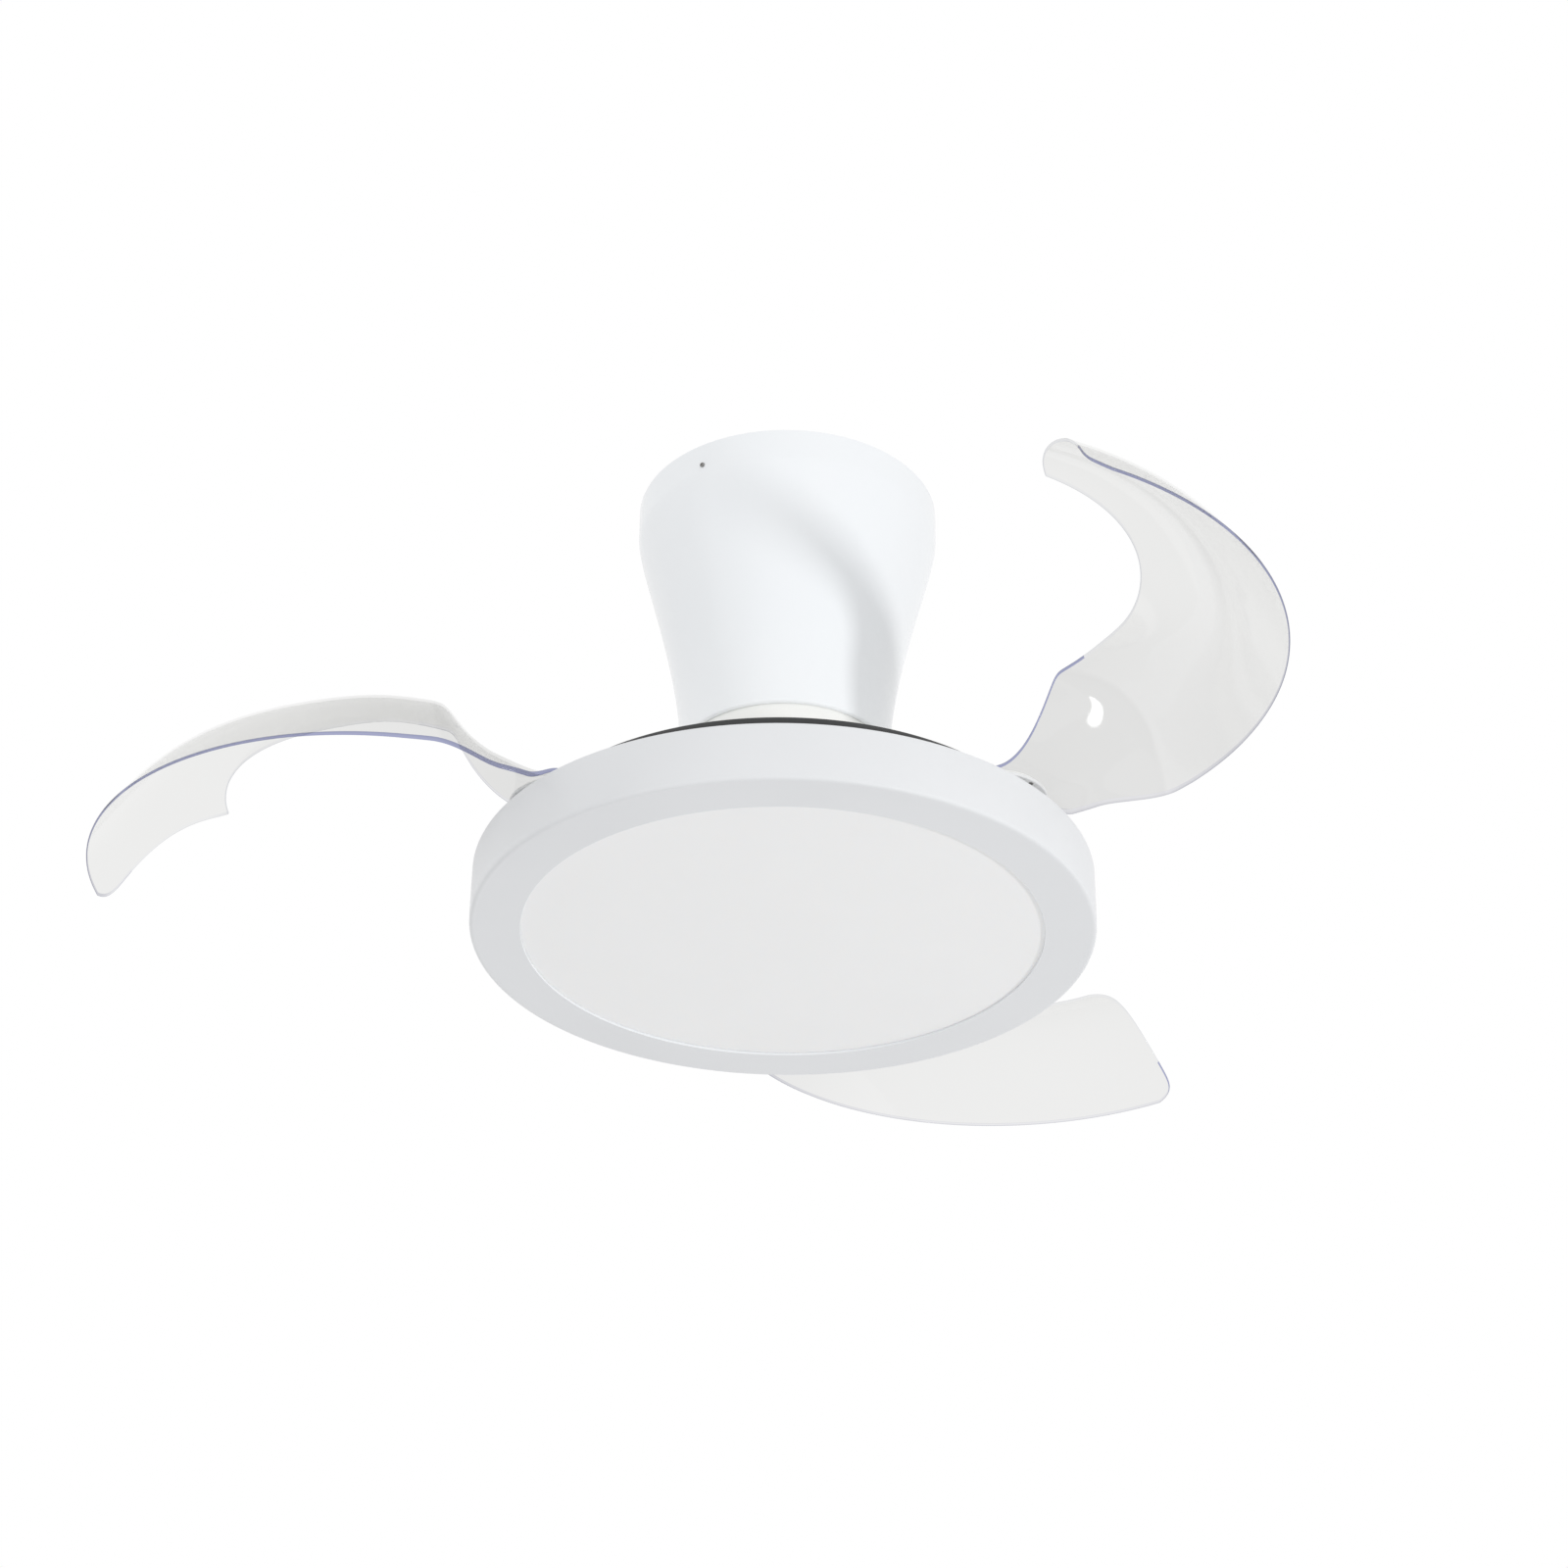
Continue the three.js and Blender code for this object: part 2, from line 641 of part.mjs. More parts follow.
// ---------------------------------------------------------------- motor
function statorCore() {
  const facets = 3 * statorTeeth;
  const hub = tube(statorBackRadius, statorSeatRadius + seatGap, zStator, statorHeight, facets);
  const toothFoot = statorBackRadius - toothRoot;
  const toothHead = statorRadius - statorShoeDepth / 2;
  const zMiddle = zStator + statorHeight / 2;
  const toothCentre = [(toothFoot + toothHead) / 2, 0, zMiddle];
  const tooth = block(toothHead - toothFoot, statorToothWidth, statorHeight, toothCentre);
  const crown = tube(statorRadius, statorRadius - statorShoeDepth, zStator, statorHeight, facets);
  const mouth = block(statorShoeDepth * 4, statorSlotMouth, statorHeight + 2,
    [statorRadius, 0, zMiddle]);
  const half = 180 / statorTeeth;
  const whole = join(hub, crown, ...turnedTo(tooth, evenAngles(statorTeeth)));
  return cut(whole, ...turnedTo(mouth, evenAngles(statorTeeth, half)));
}
add(stationary, "stator_core", statorCore(), laminated);

// The coils, one around each tooth, joined at their foot by the ring that leads the wires.
function statorWindings() {
  const low = zStator - coilOverhang;
  const height = statorHeight + 2 * coilOverhang;
  const outside = statorRadius - statorShoeDepth - seatGap;
  const inside = statorBackRadius + seatGap;
  const ring = tube(outside, inside, low, height, 3 * statorTeeth);
  const zMiddle = zStator + statorHeight / 2;
  const centre = [(outside + inside) / 2, 0, zMiddle];
  const room = 2 * seatGap;
  const depth = outside - inside;
  const toothHole = block(2 * depth, statorToothWidth + room, statorHeight + room, centre);
  const slotCentre = [inside + coilFootWidth + depth / 2, 0, zMiddle];
  const slot = block(depth, coilGap, height + 2, slotCentre);
  const half = 180 / statorTeeth;
  const leads = cut(ring, ...turnedTo(toothHole, evenAngles(statorTeeth)));
  return cut(leads, ...turnedTo(slot, evenAngles(statorTeeth, half)));
}
add(stationary, "stator_windings", statorWindings(), copper);

const shellInside = motorRadius - motorWall;
const hubBore = shaftRadius + hubBoreRoom;
const zSplit = zMotor + motorSplit;

function motorShellLower() {
  const pocket = bearingOuter + seatGap;
  return turned(
    [[hubBore, zHubEnd], [hubRadius, zHubEnd], [hubRadius, zMotor],
      [motorRadius - motorEdge, zMotor], [motorRadius, zMotor + motorEdge],
      [motorRadius, zSplit - seatGap / 2], [shellInside, zSplit - seatGap / 2],
      [shellInside, zMotor + motorWall + motorEdge], [shellInside - motorEdge, zMotor + motorWall],
      [pocket, zMotor + motorWall], [pocket, zBearingLow - seatGap],
      [hubBore, zBearingLow - seatGap]],
    midFacets,
  );
}
add(rotor, "motor_shell_lower", motorShellLower(), whiteSatin);

function motorShellUpper() {
  const pocket = bearingOuter + seatGap;
  const bossOutside = pocket + motorWall;
  return turned(
    [[motorRadius, zSplit + seatGap / 2], [motorRadius, zMotorTop - motorEdge],
      [motorRadius - motorEdge, zMotorTop], [hubBore, zMotorTop],
      [hubBore, zBearingHigh + bearingWidth + seatGap],
      [pocket, zBearingHigh + bearingWidth + seatGap], [pocket, zBearingHigh],
      [bossOutside, zBearingHigh], [bossOutside, zMotorTop - motorWall],
      [shellInside - motorEdge, zMotorTop - motorWall],
      [shellInside, zMotorTop - motorWall - motorEdge], [shellInside, zSplit + seatGap / 2]],
    midFacets,
  );
}
add(rotor, "motor_shell_upper", motorShellUpper(), whiteSatin);

const zMagnet = zStator + (statorHeight - magnetHeight) / 2;
const magnetOutside = shellInside - seatGap;
const magnets = tube(magnetOutside, magnetOutside - magnetThickness, zMagnet, magnetHeight, midFacets);
add(rotor, "magnet_ring", magnets, ferrite);

function ballBearing(z) {
  const middle = (bearingOuter + bearingBore) / 2;
  const outerRace = middle + raceSpacing / 2;
  const innerRace = middle - raceSpacing / 2;
  return turned(
    [[bearingBore, z], [innerRace, z], [innerRace, z + bearingGroove],
      [outerRace, z + bearingGroove], [outerRace, z], [bearingOuter, z],
      [bearingOuter, z + bearingWidth], [bearingBore, z + bearingWidth]],
    smallFacets,
  );
}
add(rotor, "bearing_lower", ballBearing(zBearingLow), steel);
add(rotor, "bearing_upper", ballBearing(zBearingHigh), steel);

// ---------------------------------------------------------------- blade carrier and sun gear
const pivotAngles = evenAngles(bladeCount, pivotAzimuth);

function atPivots(geometry) {
  return turnedTo(geometry.clone().translate(pivotRadius, 0, 0), pivotAngles);
}

function bladeCarrier() {
  const sheet = disc(carrierRadius, zCarrier, carrierThickness, wideFacets);
  const lobe = disc(lobeRadius, zCarrier, carrierThickness);
  const rim = tube(carrierRadius, carrierRadius - carrierRimWall, zCarrierRim,
    carrierRimDepth + carrierThickness / 2, wideFacets);
  const notch = disc(housingRadius + 2 * seatGap, zCarrierRim - 1, carrierRimDepth + 1);
  const body = join(sheet, cut(rim, ...atPivots(notch)), ...atPivots(lobe));
  const pivotHole = disc(pinRadius + bushWall + pinFit, zCarrier - 1, carrierThickness + 2);
  const studHole = disc(stopStudRadius + pinFit, zCarrier - 1, carrierThickness + 2,
    tinyFacets);
  const hubHole = disc(hubRadius + seatGap, zCarrier - 1, carrierThickness + 2, midFacets);
  const studHoles = turnedTo(studHole.translate(stopCircle, 0, 0), pivotAngles);
  return cut(body, hubHole, ...atPivots(pivotHole), ...studHoles);
}
add(rotor, "blade_carrier", bladeCarrier(), blackSatin);

// Half of the angle that an involute tooth fills at a radius, in radians.
function toothHalfAngle(teeth, radius) {
  const pitch = (gearModule * teeth) / 2;
  const base = pitch * Math.cos(rad(pressureAngle));
  const involute = (r) => {
    const roll = Math.acos(Math.min(1, base / r));
    return Math.tan(roll) - roll;
  };
  const atPitch = ((Math.PI * gearModule) / 2 - backlash) / 2 / pitch;
  return atPitch + involute(pitch) - involute(Math.max(radius, base));
}

// Outline points of the teeth whose middles stand at the given angles, in radians.
function toothPoints(teeth, middles) {
  const pitch = (gearModule * teeth) / 2;
  const root = pitch - 1.25 * gearModule;
  const tip = pitch + gearModule;
  const radii = [root, pitch, tip];
  const at = (r, a) => new THREE.Vector2(r * Math.cos(a), r * Math.sin(a));
  return middles.flatMap((middle) => [
    ...radii.map((r) => at(r, middle - toothHalfAngle(teeth, r))),
    ...[...radii].reverse().map((r) => at(r, middle + toothHalfAngle(teeth, r))),
  ]);
}

const sunTurn = (foldAngle * pinionTeeth) / sunTeeth;
const sunRoot = (gearModule * sunTeeth) / 2 - 1.25 * gearModule;

// Angles of the sun gear's teeth beside one pivot: a space faces the pinion, and the toothed stretch
// is as long as the turn of the gear with the reach of the pinion on both sides.
function sunToothAngles(pivot) {
  const pitch = 360 / sunTeeth;
  const tip = (gearModule * sunTeeth) / 2 + gearModule;
  const pinionTip = (gearModule * pinionTeeth) / 2 + gearModule;
  const cosine = (tip ** 2 + pivotRadius ** 2 - pinionTip ** 2) / (2 * tip * pivotRadius);
  const reach = THREE.MathUtils.radToDeg(Math.acos(cosine));
  const angles = [];
  for (let k = -sunTeeth / 2; k < sunTeeth / 2; k++) {
    const angle = (k + 0.5) * pitch;
    if (angle > -sunTurn - reach && angle < reach) angles.push(rad(pivot + angle));
  }
  return angles;
}

function sunGear() {
  const outline = [];
  for (const pivot of pivotAngles) {
    const middles = sunToothAngles(pivot);
    outline.push(...toothPoints(sunTeeth, middles));
    const last = middles[middles.length - 1] + Math.PI / sunTeeth;
    const next = rad(pivot + 360 / bladeCount - sunTurn - toothMargin);
    const degrees = THREE.MathUtils.radToDeg;
    outline.push(...arcPoints(0, 0, sunRoot, degrees(last), degrees(next), plainRimSteps));
  }
  const shape = new THREE.Shape(outline);
  shape.holes.push(new THREE.Path(arcPoints(0, 0, hubRadius + runningGap, 0, 360, midFacets)));
  const slotHalf = stopStudRadius + pinFit;
  const middle = (sunWindowInner + sunWindowOuter) / 2;
  const half = (sunWindowOuter - sunWindowInner) / 2;
  for (const pivot of pivotAngles) {
    shape.holes.push(arcSlot(stopCircle, slotHalf, pivot - sunTurn, pivot, 3, 4));
    const centre = pivot - sunTurn / 2 + 180 / bladeCount;
    const quarter = sunWindowSpan / 4;
    shape.holes.push(arcSlot(middle, half, centre - quarter, centre + quarter, 3, 6));
  }
  return plate(shape, zGear, gearThickness);
}
add(rotor, "sun_gear", sunGear(), nylon);

function gearRetainer() {
  const inner = hubRadius + seatGap;
  const low = zGear - runningGap - retainerThickness;
  return tube(inner + retainerWidth, inner, low, retainerThickness, midFacets);
}
add(rotor, "gear_retainer", gearRetainer(), steel);

function stopStud() {
  const headTop = zGear - runningGap;
  const headLow = headTop - stopHeadHeight;
  return turned(
    [[0, headLow], [stopHeadRadius, headLow], [stopHeadRadius, headTop],
      [stopStudRadius, headTop], [stopStudRadius, zCarrierTop], [0, zCarrierTop]],
    tinyFacets,
  ).translate(stopCircle, 0, 0);
}

// The spiral climbs nowhere: it runs outwards at an even pitch from beside the hub.
function returnSpring() {
  const first = hubRadius + springClearance + springWire;
  const z = zGear + gearThickness + runningGap + springWire;
  class Spiral extends THREE.Curve {
    getPoint(t, target = new THREE.Vector3()) {
      const angle = 2 * Math.PI * springTurns * t;
      const radius = first + springPitch * springTurns * t;
      return target.set(radius * Math.cos(angle), radius * Math.sin(angle), z);
    }
  }
  const section = new THREE.Shape();
  section.absarc(0, 0, springWire, 0, 2 * Math.PI, false);
  const options = { extrudePath: new Spiral(), steps: springTurns * 16, curveSegments: 3 };
  return new THREE.ExtrudeGeometry(section, options);
}
add(rotor, "return_spring", returnSpring(), steel);

// ---------------------------------------------------------------- blades
// Folded, a blade is part of a cupped ring around the axis. Its middle surface is given by the angle
// from the pivot, clockwise in degrees, and by s, from 0 on the outer edge to 1 on the inner edge.
function bladeAlong(angle) {
  return clamp01((angle - riserOuterAngle) / (bladeTipAngle - riserOuterAngle));
}

function bladeRadius(angle, s) {
  const flare = smooth(clamp01((angle - flareStart) / (flareEnd - flareStart)));
  const rootOuter = pivotRadius + bladeRootHalfWidth;
  const rootInner = pivotRadius - bladeRootHalfWidth;
  const draw = smooth(clamp01(angle / riserInnerAngle));
  const wide = bladeOuterRadius + bladeTipWidening * bladeAlong(angle) ** 2;
  const outer = THREE.MathUtils.lerp(rootOuter, wide, flare);
  const inner = THREE.MathUtils.lerp(rootInner, bladeInnerRadius, draw);
  return THREE.MathUtils.lerp(outer, inner, s);
}

function rootDip(angle) {
  return smooth(clamp01((angle - rootDipStart) / (rootDipEnd - rootDipStart)));
}

function bladeRise(angle, s) {
  const along = bladeAlong(angle);
  const drop = THREE.MathUtils.lerp(bladeDropStart, bladeDropEnd, along);
  const hump = bladeRidge * Math.exp(-(((angle - ridgeAngle) / ridgeSpread) ** 2));
  const crest = bladeCrest + hump + bladeCrestGain * along;
  const arch = THREE.MathUtils.lerp(bladeArch, bladeArchEnd, along);
  const sag = bladeInnerSag * along * s ** 2;
  const body = crest - (crest + drop) * (1 - s) ** arch - sag;
  const root = -bladeDropStart * rootDip(angle) * smooth(clamp01(1 - s / rootDipWidth));
  const crease = THREE.MathUtils.lerp(riserOuterAngle, riserInnerAngle, s ** creasePower);
  const inwards = s ** riserInnerFade;
  const foot = riserStart - riserInnerLead * inwards;
  const power = THREE.MathUtils.lerp(riserPower, riserInnerPower, inwards);
  const climb = clamp01((angle - foot) / (crease - foot)) ** power;
  return THREE.MathUtils.lerp(root, body, climb);
}

function bladeEnds(s) {
  const round = Math.sqrt(Math.max(0, 1 - (2 * s - 1) ** 2));
  const start = -THREE.MathUtils.radToDeg((bladeRootHalfWidth * round) / pivotRadius);
  const outward = bladeTipReach * (1 - s) ** 3 - bladeTipRounding * (1 - s) ** tipRoundingPower;
  const tip = bladeTipAngle + outward - bladeTipSweep * s ** tipSweepPower;
  return [start, tip];
}

function bladeGeometry() {
  const alongSteps = 24;
  const acrossSteps = 6;
  const rowSpread = 1.25;       // rows lie closer together near the root
  const positions = [];
  for (const side of [0, 1]) {
    for (let i = 0; i <= alongSteps; i++) {
      for (let j = 0; j <= acrossSteps; j++) {
        const s = (1 - Math.cos((Math.PI * j) / acrossSteps)) / 2;
        const [start, tip] = bladeEnds(s);
        const t = i / alongSteps;
        const angle = THREE.MathUtils.lerp(start, tip, t ** rowSpread);
        const fade = clamp01(1 - angle / beadEnd);
        const bead = bladeRootBead * rootDip(angle) * clamp01(1 - s / beadWidth) * fade;
        const radius = bladeRadius(angle, s);
        const z = zRoot + bladeRise(angle, s) + (side ? bladeThickness : -bead);
        const turn = -rad(angle);
        positions.push(radius * Math.cos(turn) - pivotRadius, radius * Math.sin(turn), z);
      }
    }
  }
  const row = acrossSteps + 1;
  const layer = row * (alongSteps + 1);
  const index = [];
  const quad = (a, b, c, d) => index.push(a, c, b, a, d, c);
  for (let i = 0; i < alongSteps; i++) {
    for (let j = 0; j < acrossSteps; j++) {
      const a = i * row + j;
      quad(a, a + 1, a + row + 1, a + row);
      quad(layer + a, layer + a + row, layer + a + row + 1, layer + a + 1);
    }
  }
  for (let i = 0; i < alongSteps; i++) {
    const a = i * row;
    const b = a + acrossSteps;
    quad(a, a + row, layer + a + row, layer + a);
    quad(b + row, b, layer + b, layer + b + row);
  }
  for (let j = 0; j < acrossSteps; j++) {
    const end = alongSteps * row + j;
    quad(j + 1, j, layer + j, layer + j + 1);
    quad(end, end + 1, layer + end + 1, layer + end);
  }
  const geometry = new THREE.BufferGeometry();
  geometry.setAttribute("position", new THREE.Float32BufferAttribute(positions, 3));
  geometry.setIndex(index);
  const hole = disc(pinRadius + pinFit, zRoot - 10, bladeThickness + 20, tinyFacets);
  return cut(geometry, hole);
}

function pinionGear() {
  const middles = evenAngles(pinionTeeth).map(rad);
  const shape = new THREE.Shape(toothPoints(pinionTeeth, middles));
  shape.holes.push(new THREE.Path(arcPoints(0, 0, pinRadius + pinFit, 0, 360, tinyFacets)));
  return plate(shape, zGear, gearThickness);
}

const zPinHead = zRoot + bladeThickness + seatGap + clampThickness + seatGap;

function pivotPin() {
  const low = zGear - seatGap - rivetHeight;
  return turned(
    [[0, low], [pinRadius + rivetWidth, low], [pinRadius + rivetWidth, low + rivetHeight],
      [pinRadius, low + rivetHeight], [pinRadius, zPinHead], [pinHeadRadius, zPinHead],
      [pinHeadRadius - pinHeadEdge, zPinHead + pinHeadHeight], [0, zPinHead + pinHeadHeight]],
    tinyFacets,
  );
}

function bladeClamp() {
  const z = zRoot + bladeThickness + seatGap;
  return turned(
    [[pinRadius + pinFit, z], [clampRadius, z], [clampRadius, z + clampThickness - clampEdgeHeight],
      [clampRadius - clampEdgeWidth, z + clampThickness], [pinRadius + pinFit, z + clampThickness]],
    roundFacets,
  );
}

const zHousing = zCarrier - seatGap - housingFlange;
const bossLow = zGear + gearThickness + runningGap + bushFlange + seatGap;

function pivotHousing() {
  const bore = pinRadius + bushWall + seatGap;
  return turned(
    [[bore, bossLow], [housingBossRadius, bossLow], [housingBossRadius + housingDraft, zHousing],
      [housingRadius - housingEdge, zHousing], [housingRadius, zHousing + housingEdge],
      [housingRadius, zHousing + housingFlange], [bore, zHousing + housingFlange]],
    roundFacets,
  );
}

function pivotBush() {
  const low = bossLow - seatGap - bushFlange;
  const outside = pinRadius + bushWall;
  return turned(
    [[pinRadius + pinFit, low], [outside + bushCollar, low],
      [outside + bushCollar, low + bushFlange], [outside, low + bushFlange],
      [outside, zCarrierTop], [pinRadius + pinFit, zCarrierTop]],
    tinyFacets,
  );
}

const blade = bladeGeometry();
const thrust = tube(washerRadius, pinRadius + pinFit, zCarrierTop + seatGap, washerThickness,
  tinyFacets);
pivotAngles.forEach((angle, i) => {
  const arm = new THREE.Group();
  arm.rotation.z = rad(angle);
  rotor.add(arm);
  const pivot = new THREE.Group();
  pivot.position.x = pivotRadius;
  arm.add(pivot);
  const number = i + 1;
  add(arm, `stop_stud_${number}`, stopStud(), zinc);
  add(pivot, `pivot_housing_${number}`, pivotHousing(), whiteMatte);
  add(pivot, `pivot_bush_${number}`, pivotBush(), sintered);
  add(pivot, `blade_${number}`, blade.clone(), clearGrey).rotation.z = rad(foldAngle);
  add(pivot, `thrust_washer_${number}`, thrust.clone(), nylon);
  add(pivot, `blade_clamp_${number}`, bladeClamp(), whiteMatte);
  add(pivot, `pivot_pin_${number}`, pivotPin(), steel);
  add(pivot, `blade_pinion_${number}`, pinionGear(), nylon).rotation.z = Math.PI;
});

export default fan;
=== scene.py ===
"""A ceiling fan with a round lamp and three clear blades, open, seen from below and in front."""
import math

import bpy
import numpy as np
from mathutils import Matrix, Vector


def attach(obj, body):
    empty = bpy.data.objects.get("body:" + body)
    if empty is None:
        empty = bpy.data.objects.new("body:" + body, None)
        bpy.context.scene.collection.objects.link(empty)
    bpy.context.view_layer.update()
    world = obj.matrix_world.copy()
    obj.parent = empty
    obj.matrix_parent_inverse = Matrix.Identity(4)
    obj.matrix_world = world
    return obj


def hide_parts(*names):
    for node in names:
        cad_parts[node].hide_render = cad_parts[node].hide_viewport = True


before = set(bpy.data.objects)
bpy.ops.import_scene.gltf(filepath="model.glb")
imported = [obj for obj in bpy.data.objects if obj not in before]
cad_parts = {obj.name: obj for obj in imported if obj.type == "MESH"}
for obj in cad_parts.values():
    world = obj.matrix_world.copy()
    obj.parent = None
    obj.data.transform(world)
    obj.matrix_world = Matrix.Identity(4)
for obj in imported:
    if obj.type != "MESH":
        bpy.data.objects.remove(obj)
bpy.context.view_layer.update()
MM = 0.001

# ------------------------ studio
# A plain white room: a pale floor far below the fan, a bright sky all round, wide soft panels in
# front, at the left and behind, a key lamp low on the right, whose light grazes the nearest blade
# on its way to the canopy, and a lamp beside it that shows only as bright spots on glossy pieces.
scene = bpy.context.scene
scene.view_settings.view_transform = "Standard"

FLOOR_HEIGHT = -3.4
FLOOR_HALF = 4.35
FLOOR_GREY = (0.86, 0.86, 0.86, 1.0)
ROOM_LIGHT = 0.7  # strength of the sky, which still looks white where it is seen
LIGHTS_AIM = Vector((0.0, 0.0, -0.3))

room = bpy.data.worlds.new("white_room")
room.use_nodes = True
scene.world = room
room_nodes = room.node_tree.nodes
room_links = room.node_tree.links
sky = room_nodes["Background"]
sky.inputs["Color"].default_value = (1.0, 1.0, 1.0, 1.0)
ray = room_nodes.new("ShaderNodeLightPath")
shows_white = ray.outputs["Is Camera Ray"]
for ray_kind in ("Is Glossy Ray", "Is Transmission Ray"):
    either = room_nodes.new("ShaderNodeMath")
    either.operation = "MAXIMUM"
    room_links.new(shows_white, either.inputs[0])
    room_links.new(ray.outputs[ray_kind], either.inputs[1])
    shows_white = either.outputs["Value"]
level = room_nodes.new("ShaderNodeMapRange")
level.inputs["To Min"].default_value = ROOM_LIGHT
room_links.new(shows_white, level.inputs["Value"])
room_links.new(level.outputs["Result"], sky.inputs["Strength"])


def soft_light(name, place, shape, width, height, watts):
    """A flat light at a place, turned to face the fan, unseen both directly and through a blade."""
    lamp = bpy.data.lights.new(name, "AREA")
    lamp.shape = shape
    lamp.size = width
    lamp.size_y = height
    lamp.energy = watts
    panel = bpy.data.objects.new(name, lamp)
    scene.collection.objects.link(panel)
    panel.location = place
    panel.rotation_euler = (LIGHTS_AIM - Vector(place)).to_track_quat("-Z", "Y").to_euler()
    panel.visible_camera = False
    panel.visible_transmission = False
    return panel


key_lamp = soft_light("key_lamp", (1.82, -1.32, -1.32), "DISK", 0.22, 0.22, 17.0)
key_lamp.visible_glossy = False
sparkle = soft_light("sparkle_lamp", (1.6, -1.84, -1.68), "ELLIPSE", 0.62, 0.36, 5.6)
sparkle.visible_diffuse = False
sparkle.data.cycles.max_bounces = 1
high_panel = soft_light("high_front_panel", (-0.6, -2.4, 0.6), "RECTANGLE", 1.5, 1.0, 8.2)
low_panel = soft_light("low_front_panel", (-0.3, -1.6, -2.2), "RECTANGLE", 1.6, 1.2, 2.0)
left_panel = soft_light("left_panel", (-2.2, -1.1, 0.2), "RECTANGLE", 1.2, 1.0, 4.2)
floor_panel = soft_light("floor_panel", (0.0, 0.9, -2.3), "RECTANGLE", 1.0, 1.0, 3.0)
for panel in (high_panel, low_panel, left_panel, floor_panel):
    panel.visible_glossy = False

floor_mesh = bpy.data.meshes.new("pale_floor")
floor_corners = FLOOR_HALF * np.array([[-1, -1], [1, -1], [1, 1], [-1, 1]], dtype=float)
floor_mesh.from_pydata(np.column_stack([floor_corners, np.full(4, FLOOR_HEIGHT)]).tolist(), [],
                       [(0, 1, 2, 3)])
floor = bpy.data.objects.new("pale_floor", floor_mesh)
scene.collection.objects.link(floor)
floor_paint = bpy.data.materials.new("pale_floor")
floor_paint.use_nodes = True
floor_surface = floor_paint.node_tree.nodes["Principled BSDF"]
floor_surface.inputs["Roughness"].default_value = 0.8
floor_surface.inputs["Base Color"].default_value = FLOOR_GREY
floor_mesh.materials.append(floor_paint)

# ------------------------ camera
# The photograph's view: two metres in front of the fan and well below it, looking up, and tilted.
CAMERA_PLACE = Vector((0.0, -2.1552, -1.5336))
CAMERA_PITCH = math.radians(30.812)
CAMERA_YAW = math.radians(0.012)
CAMERA_ROLL = math.radians(0.654)
LENS_LENGTH = 75.29
SENSOR_WIDTH = 36.0
FARTHEST_SEEN = 50.0

lens = bpy.data.cameras.new("photo_view")
lens.sensor_width = SENSOR_WIDTH
lens.lens = LENS_LENGTH
lens.clip_end = FARTHEST_SEEN
camera = bpy.data.objects.new("photo_view", lens)
scene.collection.objects.link(camera)
ahead = Vector((-math.sin(CAMERA_YAW) * math.cos(CAMERA_PITCH),
                math.cos(CAMERA_YAW) * math.cos(CAMERA_PITCH), math.sin(CAMERA_PITCH)))
level_right = Vector((math.cos(CAMERA_YAW), math.sin(CAMERA_YAW), 0.0))
level_up = level_right.cross(ahead)
tilted_right = level_right * math.cos(CAMERA_ROLL) + level_up * math.sin(CAMERA_ROLL)
tilted_up = level_up * math.cos(CAMERA_ROLL) - level_right * math.sin(CAMERA_ROLL)
turn = Matrix((tilted_right, tilted_up, -ahead)).transposed().to_4x4()
camera.matrix_world = Matrix.Translation(CAMERA_PLACE) @ turn
scene.camera = camera

# ------------------------ ceiling bracket and suspension
# A zinc plated strap bar is screwed to the ceiling. A pressed yoke under it carries the white down
# rod on a headed pin, and a second pin joins the rod to the hollow steel shaft that holds the lamp.


def node(tree, kind, values=None, **settings):
    """A shader node of one kind: values go onto its sockets, settings onto the node itself."""
    made = tree.nodes.new(kind)
    for key, value in settings.items():
        setattr(made, key, value)
    for key, value in (values or {}).items():
        made.inputs[key].default_value = value
    return made


def effect(name, inputs):
    """An empty node group that takes a Vector and numbers, and the sockets they come in by."""
    group = bpy.data.node_groups.new(name, "ShaderNodeTree")
    group.interface.new_socket("Vector", in_out="INPUT", socket_type="NodeSocketVector")
    for label, default in inputs.items():
        socket = group.interface.new_socket(label, in_out="INPUT", socket_type="NodeSocketFloat")
        socket.default_value = default
    return group, group.nodes.new("NodeGroupInput").outputs


def noise(group, vector, scale, values):
    """A noise mask over a vector; its scale is a number, or one of the group's inputs."""
    texture = node(group, "ShaderNodeTexNoise", values)
    group.links.new(vector, texture.inputs["Vector"])
    if isinstance(scale, float):
        texture.inputs["Scale"].default_value = scale
    else:
        group.links.new(scale, texture.inputs["Scale"])
    return texture.outputs["Fac"]


def put_out(group, masks):
    """Gives a group its outputs, one for each named mask, and hands it back finished."""
    for label in masks:
        group.interface.new_socket(label, in_out="OUTPUT", socket_type="NodeSocketFloat")
    end = group.nodes.new("NodeGroupOutput")
    for label, mask in masks.items():
        group.links.new(mask, end.inputs[label])
    return group


def rolled_metal_group():
    """Rolled or ground metal: long fine scratches along X, and cloudy patches of plating.

    Streaks are noise on coordinates that are squeezed along X; Clouds are plain slow noise.
    """
    group, given = effect("rolled_metal", {"Streak Scale": 900.0, "Cloud Scale": 40.0})
    squeeze = node(group, "ShaderNodeMapping", {"Scale": (0.03, 1.0, 1.0)})
    group.links.new(given["Vector"], squeeze.inputs["Vector"])
    streaks = noise(group, squeeze.outputs["Vector"], given["Streak Scale"], {"Detail": 3.0})
    clouds = noise(group, given["Vector"], given["Cloud Scale"], {"Detail": 4.0, "Distortion": 0.8})
    return put_out(group, {"Height": streaks, "Streaks": streaks, "Clouds": clouds})


rolled_metal = rolled_metal_group()


